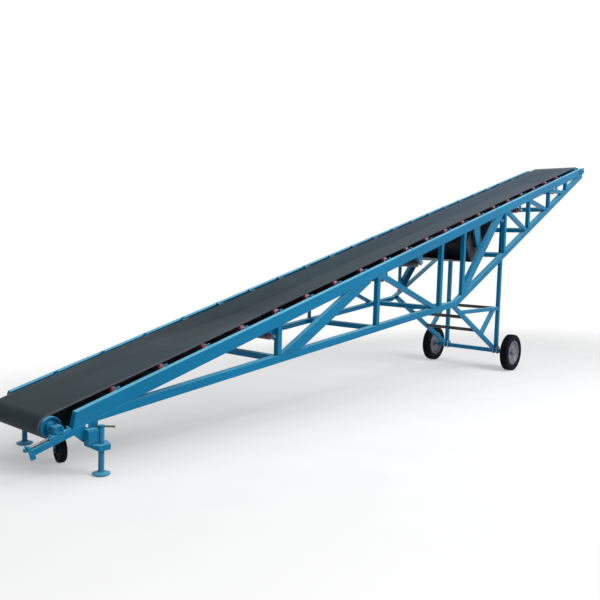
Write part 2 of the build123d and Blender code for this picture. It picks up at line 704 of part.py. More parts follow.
leg_top_w = CHANNEL_DEPTH - CHANNEL_LIP
under_lip_line = [inc(0, -leg_top_w), inc(STRINGER_LENGTH, -leg_top_w)]
under_lip_top = slab(under_lip_line + [(head_top[0], 0), (0, 0)], leg_out, leg_in)
leg_post = leg_bar((WHEEL_X, leg_low), (WHEEL_X, stringer_z(WHEEL_X) + 100)) & under_lip_top
top_u = (WHEEL_X - leg_top_w * SIN) / COS
leg_post += slab(band(inc(top_u - 60, 0), inc(top_u + 60, 0), -leg_top_w - 40, -leg_top_w), -FLANGE_TIP, leg_out)
seat = [(WHEEL_X - 60, axle_top), (WHEEL_X + 60, axle_top), (WHEEL_X + 60, leg_low), (WHEEL_X - 60, leg_low)]
leg_post += slab(seat, leg_out - 10, leg_in + 10)

diagonal_line = ((KNEE_X - 40, knee[1] + 21), (WHEEL_X, AXLE_Z))
tail_of_post = slab([(post_tail, leg_low), (post_tail, 3e3), (0, 3e3), (0, leg_low)], leg_out, leg_in)
leg_diagonal = leg_bar(*diagonal_line) & tail_of_post
over_diagonal = slab(band(*diagonal_line, LEG_SIZE / 2, 3e3), leg_out, leg_in)
leg_tie = leg_bar((KNEE_X, TIE_Z), (WHEEL_X, TIE_Z)) & tail_of_post & over_diagonal
tie_low = TIE_Z - LEG_SIZE / 2
under_tie = slab([(0, 0), (head_top[0], 0), (head_top[0], tie_low), (0, tie_low)], leg_out, leg_in)
strut_line = ((STRUT_FOOT_X, STRUT_FOOT_Z), (STRUT_HEAD_X, TIE_Z))
leg_tie += leg_bar(*strut_line, 120) & tail_of_post & over_diagonal & under_tie


def diagonal_z(x):
    """Centre line of the leg's diagonal."""
    (x0, z0), (x1, z1) = diagonal_line
    return z0 + (x - x0) * (z1 - z0) / (x1 - x0)


leg_cross = []
for x, z in ((5400, diagonal_z(5400)), (5750, diagonal_z(5750)), (WHEEL_X, TIE_Z)):
    leg_cross.append(shaft((x, z), 42, leg_in, -leg_in, ROLL_SIDES))

axle = Pos(WHEEL_X, 0, AXLE_Z) * Box(AXLE_SIZE, AXLE_LENGTH, AXLE_SIZE)
spindle_end = WHEEL_TRACK / 2 + 48
axle += across(WHEEL_X, AXLE_Z, SPINDLE_DIA, -spindle_end, spindle_end)


def wheel_form(rings, x, y, z, sides=WHEEL_SIDES):
    """Solid through many-sided rings about the Y line through x, y, z, from (radius, y) pairs.

    The radius is that of the flats, and one of them lies underneath.
    """
    sections = []
    for radius, dy in rings:
        plane = Plane(origin=(x, y + dy, z), x_dir=(1, 0, 0), z_dir=(0, 1, 0))
        sections.append(plane * RegularPolygon(radius, sides, major_radius=False, rotation=90 - 180 / sides))
    return loft(sections, ruled=True)


def road_wheel(x, y, z):
    """Near-side tyre and rim, centred on x, y, z."""
    tr, tw, rr = WHEEL_DIA / 2, TYRE_WIDTH / 2, RIM_DIA / 2
    bead = tw - 13
    tread = [(rr + 10, -bead), (rr + 40, -tw), (tr - 14, -tw + 6), (tr, -tw + 30)]
    tyre = wheel_form(tread + [(r, -dy) for r, dy in reversed(tread)], x, y, z)
    tyre -= wheel_form([(rr, -bead), (rr, bead)], x, y, z)
    rim = wheel_form([(rr, -bead), (rr, bead)], x, y, z)
    rim -= wheel_form([(rr - 8, -bead), (rr - 34, -12)], x, y, z)
    rim -= wheel_form([(rr - 12, -4), (rr - 8, bead)], x, y, z)
    hub = [(34.0, -HUB_HALF), (34.0, HUB_HALF)]
    rim += wheel_form(hub, x, y, z, SHAFT_SIDES)
    return tyre, rim - across(x, z, SPINDLE_DIA + 2 * SPINDLE_PLAY, y - 50, y + 50)


tyre_near, rim_near = road_wheel(WHEEL_X, -WHEEL_TRACK / 2, AXLE_Z)

# Tail caster: the fork turns on a kingpin under the beam, and the wheel rolls between its cheeks.
# It is made trailing along +X and then turned about the kingpin.
CASTER_Z = CASTER_DIA / 2
beam_low = TAIL_BEAM_Z - TAIL_BEAM / 2
caster_x = TAIL_BEAM_X + CASTER_TRAIL
fork_top = beam_low - PIN_PLATE
half_width = CASTER_WIDTH / 2
cheek_in = half_width + 6
caster_pin = prism((TAIL_BEAM_X, 0, fork_top + 8), (TAIL_BEAM_X, 0, beam_low), 60, ROLL_SIDES, (1, 0, 0))
caster_pin += rod((TAIL_BEAM_X, 0, fork_top - 3), (TAIL_BEAM_X, 0, fork_top + 9), KINGPIN_DIA)
fork = Pos(TAIL_BEAM_X + 20, 0, fork_top + 1) * Box(110, 2 * cheek_in + 12, 10)
fork -= rod((TAIL_BEAM_X, 0, fork_top - 9), (TAIL_BEAM_X, 0, fork_top + 9), KINGPIN_DIA + 2 * SPINDLE_PLAY)
cheek = [
    (TAIL_BEAM_X - 30, fork_top),
    (TAIL_BEAM_X + 70, fork_top),
    (caster_x + 22, CASTER_Z),
    (caster_x + 10, CASTER_Z - 20),
    (caster_x - 10, CASTER_Z - 20),
    (caster_x - 22, CASTER_Z),
]
CASTER_AXLE = 14.0
for side in (-1, 1):
    y0, y1 = sorted((side * cheek_in, side * (cheek_in + 6)))
    fork += slab(cheek, y0, y1)
    y0, y1 = sorted((side * (cheek_in + 5), side * (cheek_in + 14)))
    fork += shaft((caster_x, CASTER_Z), 24, y0, y1, 6)
fork += across(caster_x, CASTER_Z, CASTER_AXLE, -cheek_in - 1, cheek_in + 1)
rolling = [(CASTER_Z - 6, -half_width), (CASTER_Z, -half_width + 12)]
rolling += [(r, -dy) for r, dy in reversed(rolling)]
caster_wheel_form = wheel_form(rolling, caster_x, 0, CASTER_Z)
for side in (-1, 1):
    recess = [(CASTER_Z - 28, side * half_width), (CASTER_Z - 28, side * (half_width - 8))]
    caster_wheel_form -= wheel_form(sorted(recess, key=lambda ring: ring[1]), caster_x, 0, CASTER_Z)
caster_hub = half_width + 4
caster_wheel_form += wheel_form([(20, -caster_hub), (20, caster_hub)], caster_x, 0, CASTER_Z, SHAFT_SIDES)
caster_wheel_form -= across(caster_x, CASTER_Z, CASTER_AXLE + 2 * SPINDLE_PLAY, -caster_hub - 1, caster_hub + 1)
turned = Pos(TAIL_BEAM_X, 0, 0) * Rot(0, 0, CASTER_TURN) * Pos(-TAIL_BEAM_X, 0, 0)
caster_fork = turned * fork
caster_wheel = turned * caster_wheel_form

# Screw jacks: a box on the tail plate holds a tray below and a yoke above, which guide the screw
box_x0 = JACK_X - 20 - 3 - JACK_BOX[0]
box_top = JACK_TRAY_Z + JACK_BOX[2]
jack_box = Pos(box_x0, -HALF, JACK_TRAY_Z) * Box(*JACK_BOX, align=(Align.MIN, Align.MAX, Align.MIN))
tray_end = -JACK_PLANE - 55
tray_side = Polyline(
    (0, -HALF, JACK_TRAY_Z),
    (0, -HALF, JACK_TRAY_Z - JACK_TRAY_EDGE),
    (0, tray_end, JACK_TRAY_Z - JACK_TRAY_LIP),
    (0, tray_end, JACK_TRAY_Z),
    close=True,
)
tray = extrude(make_face(tray_side), amount=JACK_X + 85, dir=(1, 0, 0))
tray_plan = Polyline(
    (box_x0, -HALF),
    (JACK_X - 50, tray_end),
    (JACK_X + 35, tray_end),
    (JACK_X + 70, -HALF),
    close=True,
)
tray = tray & extrude(make_face(tray_plan), amount=JACK_TRAY_Z + 1, dir=(0, 0, 1))
yoke_size = (JACK_X + 12 - box_x0, JACK_PLANE - HALF, 10)
yoke = Pos(box_x0, -HALF, box_top - 1) * Box(*yoke_size, align=(Align.MIN, Align.MAX, Align.MIN))
yoke_top = box_top + 9
upwards = (1, 0, 0)
screw_room = prism((JACK_X, -JACK_PLANE, 0), (JACK_X, -JACK_PLANE, 500), SCREW_DIA + 2 * JACK_PLAY, 24, upwards)
housing = jack_box + tray + yoke - screw_room
handle_z = yoke_top + 12
foot_rings = [(50, 0), (FOOT_DIA / 2, 8), (FOOT_DIA / 2, 14), (SCREW_DIA / 2 + 4, FOOT_THICK)]
foot_sections = []
for radius, dz in foot_rings:
    foot_sections.append(Pos(JACK_X, -JACK_PLANE, dz) * RegularPolygon(radius, 24, rotation=180 / 24))
jack_leg = loft(foot_sections, ruled=True)
jack_leg += prism((JACK_X, -JACK_PLANE, 1), (JACK_X, -JACK_PLANE, handle_z + 9), SCREW_DIA, 24, upwards, False)
HANDLE = (0.65, -0.76, -28.0, 82.0)
handle_ends = [
    (JACK_X + HANDLE[0] * reach, -JACK_PLANE + HANDLE[1] * reach, handle_z) for reach in HANDLE[2:]
]
jack_leg += prism(*handle_ends, 14, 8, (0, 0, 1))

nodes = {
    "stringer_near": stringer_near,
    "stringer_far": far(stringer_near),
    "tail_chord_near": tail_chord_near,
    "tail_chord_far": far(tail_chord_near),
    "head_chord_near": head_chord_near,
    "head_chord_far": far(head_chord_near),
    "truss_posts_near": posts_near,
    "truss_posts_far": [far(s) for s in posts_near],
    "truss_braces_near": diagonals_near,
    "truss_braces_far": [far(s) for s in diagonals_near],
    "cross_members": cross_members,
    "belt_carrying_run": belt_carrying_run,
    "belt_return_run": belt_return_run,
    "tail_pulley": tail_pulley,
    "head_pulley": head_pulley,
    "drive_drum": drive_drum,
    "drive_hangers": both(drive_hanger),
    "bend_rollers": bend_rollers,
    "return_rolls": return_rolls,
    "roller_hangers": hangers + [far(s) for s in hangers],
    "idler_bars": bars,
    "idler_stands": stands,
    "centre_rolls": centre_rolls,
    "wing_rolls": wings,
    "tail_plates": both(tail_plate),
    "tail_beam": tail_beam,
    "takeup_rails": both(rail),
    "takeup_screws": both(takeup_screw),
    "pulley_bearings": both(tail_bearing) + both(head_bearing),
    "head_plates": both(head_plate),
    "leg_posts": both(leg_post),
    "leg_diagonals": both(leg_diagonal),
    "leg_ties": both(leg_tie),
    "leg_cross_tubes": leg_cross,
    "axle": axle,
    "tyre_near": tyre_near,
    "rim_near": rim_near,
    "tyre_far": far(tyre_near),
    "rim_far": far(rim_near),
    "caster_pin": caster_pin,
    "caster_fork": caster_fork,
    "caster_wheel": caster_wheel,
    "jack_housings": both(housing),
    "jack_screw_near": jack_leg,
    "jack_screw_far": far(jack_leg),
}

# The origin is on the floor, below the middle of the whole machine
placed = {}
for node, shape in nodes.items():
    items = shape if isinstance(shape, list) else [shape]
    placed[node] = Compound([solid for item in items for solid in item.solids()])
box = Compound(list(placed.values())).bounding_box()
shift = Pos(-(box.min.X + box.max.X) / 2, -(box.min.Y + box.max.Y) / 2, -box.min.Z)
for node, compound in placed.items():
    export_step(shift * compound, f"parts/{node}.step")
print("shift", shift.position)
print("box", box.size)
for name, point in {
    "wheel": (WHEEL_X, WHEEL_TRACK / 2, AXLE_Z),
    "caster pin": (TAIL_BEAM_X, 0, fork_top),
    "caster wheel": (turned * Pos(caster_x, 0, CASTER_Z)).position,
    "jack": (JACK_X, JACK_PLANE, JACK_TRAY_Z),
    "tow hole": (tow_hole_at[0], HALF, tow_hole_at[1]),
}.items():
    print(name, shift.position + Vector(*point))
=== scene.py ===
"""Looks of the portable belt conveyor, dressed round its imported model.

Metres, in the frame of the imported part: X runs from the tail to the raised head, the near side is -Y
and Z is up. In slope coordinates, u runs up the slope from the tail end of the stringers' top and w
stands square to it, upwards. Each class is one sub-assembly, one finish or one tool for them.
"""

import logging
import math
from dataclasses import dataclass
from enum import Enum
from functools import cached_property
from typing import Callable, Iterable, Optional, Sequence, Union

import bmesh
import bpy
from mathutils import Matrix, Vector


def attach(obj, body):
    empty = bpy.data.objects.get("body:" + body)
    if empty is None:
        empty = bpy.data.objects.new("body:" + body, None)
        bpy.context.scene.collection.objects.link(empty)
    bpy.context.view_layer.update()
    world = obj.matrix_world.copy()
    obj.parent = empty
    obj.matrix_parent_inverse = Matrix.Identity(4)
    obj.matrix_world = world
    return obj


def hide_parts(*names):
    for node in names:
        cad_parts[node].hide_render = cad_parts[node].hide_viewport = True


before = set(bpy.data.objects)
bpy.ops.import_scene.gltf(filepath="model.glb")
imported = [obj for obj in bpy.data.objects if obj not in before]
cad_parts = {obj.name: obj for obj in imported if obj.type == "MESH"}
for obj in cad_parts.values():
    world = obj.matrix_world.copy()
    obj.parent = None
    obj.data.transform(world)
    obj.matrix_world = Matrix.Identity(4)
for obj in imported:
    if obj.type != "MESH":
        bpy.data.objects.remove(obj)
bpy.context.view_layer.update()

log = logging.getLogger("conveyor")

Number = Union[int, float]
Point = Sequence[float]
Profile = Sequence[tuple[float, float]]
Colour = tuple[float, float, float]

INCLINE = math.radians(15.4)
UP_SLOPE = Vector((math.cos(INCLINE), 0.0, math.sin(INCLINE)))
OFF_SLOPE = Vector((-math.sin(INCLINE), 0.0, math.cos(INCLINE)))
STRINGER_FOOT = Vector((-4.36866, 0.0, 0.424))
FRAME_HALF = 0.450
UP = (0.0, 0.0, 1.0)
ACROSS = (0.0, 1.0, 0.0)
SAME_PLACE = 2e-5
SPUN_SEAM = 1e-6
FLAT_ANGLE = math.radians(0.4)
SHARP_ANGLE = math.radians(40)


class Body(Enum):
    """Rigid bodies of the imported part."""

    FRAME = "frame"
    WHEEL_NEAR = "wheel_near"
    WHEEL_FAR = "wheel_far"
    CASTER = "caster"
    CASTER_ROLLER = "caster_roller"
    JACK_NEAR = "jack_near"
    JACK_FAR = "jack_far"


class Side(Enum):
    """Which side of the belt's middle plane."""

    NEAR = -1
    FAR = 1

    @property
    def word(self) -> str:
        """The side as names have it."""
        return self.name.lower()

    @property
    def out(self) -> Vector:
        """Direction away from the belt."""
        return Vector((0.0, float(self.value), 0.0))


class Slot(Enum):
    """Material slots of the record that the pieces take."""

    BLUE = "blue_paint"
    STEEL = "bare_steel"
    ROLL = "roll_red"
    CAST = "cast_paint"
    TYRE = "tyre"
    RIM = "rim_paint"
    CASTER = "caster_rubber"


class Kind(Enum):
    """What a node tree belongs to, as bpy.data names it."""

    MATERIAL = "materials"
    WORLD = "worlds"


def on_slope(u: float, y: float, w: float) -> Vector:
    """Point of space from slope coordinates.

    Args:
        u: Metres up the slope from the tail end of the stringers' top.
        y: Metres across, positive on the far side.
        w: Metres square to the slope, upwards.

    Returns:
        The point in the part's frame.
    """
    return STRINGER_FOOT + UP_SLOPE * u + OFF_SLOPE * w + Vector((0.0, y, 0.0))


def operator(operation: str, swapped: bool = False) -> Callable:
    """Makes a Python operator of a Math node.

    Args:
        operation: The node's operation.
        swapped: Whether the other value comes first.

    Returns:
        The operator's method.
    """

    def apply(signal: "Signal", other: "Value") -> "Signal":
        """Adds the node."""
        first, second = (other, signal) if swapped else (signal, other)
        return signal.maths(operation, first, second)

    return apply


class Signal:
    """A number that changes over a surface, for use in Python expressions."""

    def __init__(self, graph: "Graph", socket: bpy.types.NodeSocket) -> None:
        """Wraps an output socket of the graph."""
        self.graph = graph
        self.socket = socket

    __add__ = __radd__ = operator("ADD")
    __sub__ = operator("SUBTRACT")
    __rsub__ = operator("SUBTRACT", swapped=True)
    __mul__ = __rmul__ = operator("MULTIPLY")
    __pow__ = operator("POWER")

    def maths(self, operation: str, first: "Value", second: "Value", clamp: bool = False) -> "Signal":
        """Adds one Math node."""
        settings = {"operation": operation, "use_clamp": clamp}
        return self.graph.node("ShaderNodeMath", settings, {0: first, 1: second})["Value"]

    def clamped(self) -> "Signal":
        """The same number held between 0 and 1."""
        return self.maths("ADD", self, 0.0, clamp=True)

    def or_more(self, other: "Value") -> "Signal":
        """The larger of two numbers."""
        return self.maths("MAXIMUM", self, other)

    def step(self, low: float, high: float, to_low: float = 0.0, to_high: float = 1.0) -> "Signal":
        """Smooth step between two levels.

        Args:
            low: Level at which the step starts.
            high: Level at which it ends.
            to_low: Result below the step.
            to_high: Result above the step.

        Returns:
            The stepped number.
        """
        settings = {"interpolation_type": "SMOOTHSTEP"}
        inputs = {"Value": self, "From Min": low, "From Max": high, "To Min": to_low, "To Max": to_high}
        return self.graph.node("ShaderNodeMapRange", settings, inputs)["Result"]


Value = Union[Signal, Number]


class Outputs:
    """Outputs of one node by name."""

    def __init__(self, graph: "Graph", node: bpy.types.Node) -> None:
        """Keeps the node."""
        self.graph = graph
        self.node = node

    def __getitem__(self, name: str) -> Signal:
        """The named output, or the one in use where several share a name."""
        return Signal(self.graph, Graph.socket(self.node.outputs, name))


class Graph:
    """Node tree of one material or world."""

    def __init__(self, name: str, kind: Kind = Kind.MATERIAL) -> None:
        """Starts an empty tree.

        Args:
            name: Name of the material or world.
            kind: Which of the two it is.
        """
        self.owner = getattr(bpy.data, kind.value).new(name)
        self.owner.use_nodes = True
        self.tree = self.owner.node_tree
        self.tree.nodes.clear()

    @cached_property
    def here(self) -> Signal:
        """Object coordinates."""
        return self.node("ShaderNodeTexCoord")["Object"]

    @staticmethod
    def socket(sockets: Iterable, key: Union[str, int]) -> bpy.types.NodeSocket:
        """Finds a socket.

        Args:
            sockets: Inputs or outputs of one node.
            key: Its index, or its name among those in use.

        Returns:
            The socket.
        """
        if isinstance(key, int):
            return sockets[key]
        return next(s for s in sockets if s.name == key and s.enabled)

    def node(self, kind: str, settings: Optional[dict] = None, inputs: Optional[dict] = None) -> Outputs:
        """Adds any node.

        Args:
            kind: The node's type.
            settings: Properties that are set first.
            inputs: Values, colours or signals by socket name or index.

        Returns:
            The node's outputs.
        """
        made = self.tree.nodes.new(kind)
        for key, value in (settings or {}).items():
            setattr(made, key, value)
        for key, value in (inputs or {}).items():
            socket = self.socket(made.inputs, key)
            if isinstance(value, Signal):
                self.tree.links.new(value.socket, socket)
            else:
                socket.default_value = (*value, 1.0) if socket.type == "RGBA" else value
        return Outputs(self, made)

    def place(self, scale: Point = (1.0, 1.0, 1.0), turn: Point = (0.0, 0.0, 0.0)) -> Signal:
        """Object coordinates, turned by radians and scaled."""
        inputs = {"Vector": self.here, "Rotation": turn, "Scale": scale}
        return self.node("ShaderNodeMapping", {}, inputs)["Vector"]

    def along_slope(self, scale: Point) -> Signal:
        """Object coordinates laid along the boom: X up the slope, Z square to it."""
        return self.place(scale, (0.0, INCLINE, 0.0))

    def parts(self, vector: Signal) -> Outputs:
        """A vector's three numbers."""
        return self.node("ShaderNodeSeparateXYZ", {}, {"Vector": vector})

    def upward(self) -> Signal:
        """How far the surface faces up, from -1 to 1."""
        return self.parts(self.node("ShaderNodeNewGeometry")["Normal"])["Z"]

    def noise(
        self, scale: float, detail: float = 4.0, rough: float = 0.55, vector: Optional[Signal] = None
    ) -> Signal:
        """Fractal noise from 0 to 1.

        Args:
            scale: Cycles a metre.
            detail: Octaves.
            rough: Weight of the fine octaves.
            vector: Where it is read, or None for plain Object coordinates.

        Returns:
            The noise.
        """
        inputs = {"Vector": vector or self.here, "Scale": scale, "Detail": detail, "Roughness": rough}
        return self.node("ShaderNodeTexNoise", {}, inputs)["Fac"]

    def mix(self, mask: Value, first: Union[Signal, Colour], second: Union[Signal, Colour]) -> Signal:
        """Blends two colours.

        Args:
            mask: 0 for the first and 1 for the second.
            first: Colour or signal.
            second: Colour or signal.

        Returns:
            The colour.
        """
        settings = {"data_type": "RGBA", "clamp_factor": True}
        return self.node("ShaderNodeMix", settings, {"Factor": mask, "A": first, "B": second})["Result"]

    def bump(self, height: Value, distance: float, strength: float, under: Optional[Signal] = None) -> Signal:
        """Normal from a height.

        Args:
            height: Height between 0 and 1.
            distance: Metres that a height of 1 stands up.
            strength: Share of the effect.
            under: A normal that this one adds to.

        Returns:
            The normal.
        """
        inputs = {"Height": height, "Distance": distance, "Strength": strength}
        if under is not None:
            inputs["Normal"] = under
        return self.node("ShaderNodeBump", {}, inputs)["Normal"]

    def surface(self, **sockets: Union[Signal, Number]) -> bpy.types.Material:
        """Ends the graph in one Principled shader.

        Args:
            sockets: Its inputs, with underscores for spaces. Shares that change are held between 0 and 1.

        Returns:
            The finished material.
        """
        for name in ("Roughness", "Metallic", "Coat_Weight"):
            if isinstance(sockets.get(name), Signal):
                sockets[name] = sockets[name].clamped()
        inputs = {name.replace("_", " "): value for name, value in sockets.items()}
        shader = self.node("ShaderNodeBsdfPrincipled", {}, inputs)["BSDF"]
        self.node("ShaderNodeOutputMaterial", {}, {"Surface": shader})
        return self.owner


@dataclass(frozen=True)
class BluePaint:
    """Brushed-on machine enamel over rolled steel, with a painted highlight on upward faces, road dust and
    chips to primer.
    """

    name: str = "blue enamel"
    fresh: Colour = (0.001, 0.135, 0.270)
    faded: Colour = (0.002, 0.158, 0.315)
    deep: Colour = (0.001, 0.095, 0.200)
    dust: Colour = (0.120, 0.200, 0.240)
    # Pale cyan of the painted highlight that upward faces take.
    painted_top_highlight: Colour = (0.120, 0.480, 0.700)
    primer: Colour = (0.170, 0.050, 0.035)
    chips: float = 0.71

    def make(self) -> bpy.types.Material:
        """Builds the material."""
        g = Graph(self.name)
        cloud = g.noise(0.9, 3.0)
        streak = g.noise(1.0, 5.0, 0.6, g.along_slope((1.4, 34.0, 34.0)))
        body = g.mix(cloud.step(0.38, 0.64), self.fresh, self.faded)
        body = g.mix(streak.step(0.52, 0.78, 0.0, 0.55), body, self.deep)
        up = g.upward().step(0.35, 0.98)
        # Painted highlight: upward faces are mixed towards pale cyan in place of the sky's sheen on the
        # flange tops.
        body = g.mix(up * cloud.step(0.30, 0.60, 0.70, 0.95), body, self.painted_top_highlight)
        dusty = (up * g.noise(5.0, 5.0).step(0.40, 0.76, 0.0, 0.62)).clamped()
        body = g.mix(dusty * 0.40, body, self.dust)
        low = g.parts(g.place())["Z"].step(0.05, 0.55, 1.0, 0.0)
        splash = (low * g.noise(9.0, 6.0, 0.7).step(0.42, 0.66)).clamped()
        body = g.mix(splash * 0.20, body, self.dust)
        grain = g.noise(46.0, 6.0, 0.62)
        chip = (grain * 0.55 + g.noise(7.5, 3.0) * 0.45).step(self.chips - 0.03, self.chips)
        body = g.mix(chip * 0.9, body, self.primer)
        skin = g.noise(240.0, 3.0, 0.5, g.along_slope((0.35, 1.0, 1.0)))
        return g.surface(
            Base_Color=body,
            Roughness=0.30 + cloud * 0.14 + dusty * 0.28 + chip * 0.30 + splash * 0.2,
            Normal=g.bump(1.0 - chip, 0.00035, 0.7, g.bump(skin, 0.00012, 0.55)),
            Coat_Weight=0.06 - dusty * 0.05 - chip * 0.06,
            Coat_Roughness=0.12,
            Specular_IOR_Level=0.07,
        )


@dataclass(frozen=True)
class BeltRubber:
    """Smooth rubber belt: chalky scuffs along its run, a pale rubbed line by each edge, and a painted sheen
    that lightens it higher up towards the head.
    """

    name: str = "belt cover rubber"
    rubber: Colour = (0.003, 0.014, 0.019)
    worn: Colour = (0.013, 0.031, 0.042)
    # Pale tone of dry scuffs, also used as painted sheen towards the head.
    dry: Colour = (0.044, 0.066, 0.096)
    chalk: Colour = (0.170, 0.175, 0.215)
    half_width: float = 0.325

    def make(self) -> bpy.types.Material:
        """Builds the material."""
        g = Graph(self.name)
        spot = g.parts(g.place())
        off_centre = (spot["Y"] * spot["Y"]) ** 0.5
        edge = off_centre.step(self.half_width - 0.016, self.half_width - 0.006)
        scuff = g.noise(1.0, 6.0, 0.65, g.along_slope((0.8, 60.0, 60.0)))
        patch = g.noise(1.1, 4.0, 0.6, g.along_slope((0.6, 2.4, 2.4)))
        height = spot["Z"]
        used = patch.step(0.36, 0.68) * height.step(0.42, 0.56)
        tone = g.mix(used.clamped(), self.rubber, self.worn)
        # The scuff streaks are real dry rubber; the height step is a painted sheen that lightens the belt the
        # higher it stands, towards the head.
        dried_and_sheen = scuff.step(0.55, 0.80) * 0.3 + height.step(0.70, 3.00, 0.0, 0.75)
        tone = g.mix(dried_and_sheen.clamped(), tone, self.dry)
        crumbs = g.noise(130.0, 4.0, 0.7).step(0.62, 0.74)
        dusty = (crumbs * patch.step(0.40, 0.60) * 0.20 + scuff.step(0.66, 0.78) * 0.12).clamped()
        tone = g.mix(dusty, tone, self.chalk)
        tone = g.mix(edge * (0.25 + scuff * 0.50), tone, self.chalk)
        weave = g.noise(1.0, 2.0, 0.5, g.along_slope((260.0, 420.0, 420.0)))
        return g.surface(
            Base_Color=tone,
            Roughness=0.47 + patch * 0.14 + dusty * 0.25 + edge * 0.12,
            Normal=g.bump(scuff, 0.0004, 0.45, g.bump(weave, 0.00016, 0.5)),
            Specular_IOR_Level=0.12,
        )


@dataclass(frozen=True)
class TyreRubber:
    """Moulded tyre rubber with greyed sidewalls and dust low in its grooves."""

    name: str = "tyre rubber"
    rubber: Colour = (0.002, 0.003, 0.006)
    bloom: Colour = (0.008, 0.009, 0.013)
    earth: Colour = (0.026, 0.025, 0.025)

    def make(self) -> bpy.types.Material:
        """Builds the material."""
        g = Graph(self.name)
        bloom = g.noise(11.0, 5.0, 0.6)
        tone = g.mix(bloom.step(0.40, 0.70, 0.0, 0.8), self.rubber, self.bloom)
        earth = (g.noise(26.0, 6.0, 0.7).step(0.50, 0.70) * bloom.step(0.35, 0.60)).clamped()
        tone = g.mix(earth * 0.45, tone, self.earth)
        return g.surface(
            Base_Color=tone,
            Roughness=0.62 + bloom * 0.16 + earth * 0.15,
            Normal=g.bump(g.noise(190.0, 4.0, 0.6), 0.00025, 0.5),
            Specular_IOR_Level=0.07,
        )


@dataclass(frozen=True)
class RimPaint:
    """Pale grey wheel enamel, stained in clouds and rusty in small spots."""

    name: str = "pale rim enamel"
    paint: Colour = (0.150, 0.150, 0.200)
    stain: Colour = (0.026, 0.028, 0.040)
    rust: Colour = (0.120, 0.050, 0.025)

    def make(self) -> bpy.types.Material:
        """Builds the material."""
        g = Graph(self.name)
        cloud = g.noise(14.0, 5.0, 0.62)
        spots = g.noise(75.0, 5.0, 0.6).step(0.64, 0.70)
        tone = g.mix(cloud.step(0.42, 0.68, 0.0, 0.7), self.paint, self.stain)
        return g.surface(
            Base_Color=g.mix(spots * 0.8, tone, self.rust),
            Roughness=0.34 + cloud * 0.22 + spots * 0.35,
            Normal=g.bump(g.noise(220.0, 3.0), 0.0001, 0.5),
            Coat_Weight=0.15,
        )


@dataclass(frozen=True)
class RollPaint:
    """Red-brown primer on roll tubes, darker than on the caps as painted shade, polished to steel where the
    belt runs.
    """

    name: str = "roll primer"
    # The tubes' primer is kept dark as painted shade under the belt's edge; the caps take a lighter copy.
    primer: Colour = (0.110, 0.022, 0.028)
    dull: Colour = (0.045, 0.014, 0.017)
    steel: Colour = (0.200, 0.190, 0.190)

    def make(self) -> bpy.types.Material:
        """Builds the material."""
        g = Graph(self.name)
        cloud = g.noise(9.0, 4.0)
        rings = g.noise(1.0, 5.0, 0.7, g.place((4.0, 260.0, 4.0)))
        rubbed = (g.upward().step(0.55, 0.95) * rings.step(0.40, 0.62, 0.35, 1.0)).clamped()
        tone = g.mix(cloud.step(0.35, 0.65), self.primer, self.dull)
        return g.surface(
            Base_Color=g.mix(rubbed * 0.55, tone, self.steel),
            Roughness=0.46 - rubbed * 0.14 + cloud * 0.1,
            Metallic=rubbed * 0.6,
            Normal=g.bump(rings, 0.00015, 0.5),
        )


@dataclass(frozen=True)
class TurnedSteel:
    """Turned or rolled bright steel with fine tool marks and a film of rust."""

    name: str = "turned steel"
    steel: Colour = (0.430, 0.440, 0.450)
    rust: Colour = (0.170, 0.085, 0.045)
    rusting: float = 0.62

    def make(self) -> bpy.types.Material:
        """Builds the material."""
        g = Graph(self.name)
        marks = g.noise(1.0, 4.0, 0.6, g.place((30.0, 900.0, 30.0)))
        film = g.noise(22.0, 6.0, 0.66) * 0.7 + g.noise(120.0, 3.0) * 0.3
        bloom = film.step(self.rusting - 0.10, self.rusting)
        return g.surface(
            Base_Color=g.mix(bloom, self.steel, self.rust),
            Metallic=1.0 - bloom * 0.85,
            Roughness=0.28 + marks * 0.12 + bloom * 0.4,
            Normal=g.bump(marks, 0.00008, 0.5),
        )


@dataclass(frozen=True)
class BlackEnamel:
    """Black enamel on the drive drum, bend rollers and leg tubes, dusty and rubbed."""

    name: str = "black enamel"
    black: Colour = (0.003, 0.005, 0.010)
    grey: Colour = (0.014, 0.018, 0.026)

    def make(self) -> bpy.types.Material:
        """Builds the material."""
        g = Graph(self.name)
        cloud = g.noise(4.0, 5.0, 0.6)
        rings = g.noise(1.0, 4.0, 0.6, g.place((3.0, 120.0, 3.0)))
        dusty = (cloud * 0.6 + rings * 0.4).step(0.42, 0.66, 0.0, 0.8)
        return g.surface(
            Base_Color=g.mix(dusty, self.black, self.grey),
            Roughness=0.40 + cloud * 0.2,
            Normal=g.bump(rings, 0.0002, 0.4),
            Coat_Weight=0.1,
        )


@dataclass(frozen=True)
class WeldMetal:
    """Weld bead under brushed-on blue enamel."""

    name: str = "painted weld"
    paint: Colour = (0.002, 0.120, 0.250)
    burnt: Colour = (0.001, 0.060, 0.130)

    def make(self) -> bpy.types.Material:
        """Builds the material."""
        g = Graph(self.name)
        cloud = g.noise(60.0, 4.0, 0.6)
        return g.surface(
            Base_Color=g.mix(cloud.step(0.4, 0.66), self.paint, self.burnt),
            Roughness=0.36 + cloud * 0.15,
            Normal=g.bump(g.noise(420.0, 3.0), 0.0002, 0.6),
            Coat_Weight=0.3,
        )


@dataclass(frozen=True)
class ZincPlate:
    """Dull zinc plating on bolts and nuts."""

    name: str = "zinc plated bolts"
    zinc: Colour = (0.360, 0.370, 0.370)
    white_rust: Colour = (0.520, 0.520, 0.500)

    def make(self) -> bpy.types.Material:
        """Builds the material."""
        g = Graph(self.name)
        cloud = g.noise(85.0, 5.0, 0.62)
        return g.surface(
            Base_Color=g.mix(cloud.step(0.45, 0.70, 0.0, 0.7), self.zinc, self.white_rust),
            Metallic=0.95 - cloud * 0.3,
            Roughness=0.36 + cloud * 0.2,
            Normal=g.bump(g.noise(600.0, 2.0), 0.00005, 0.5),
        )


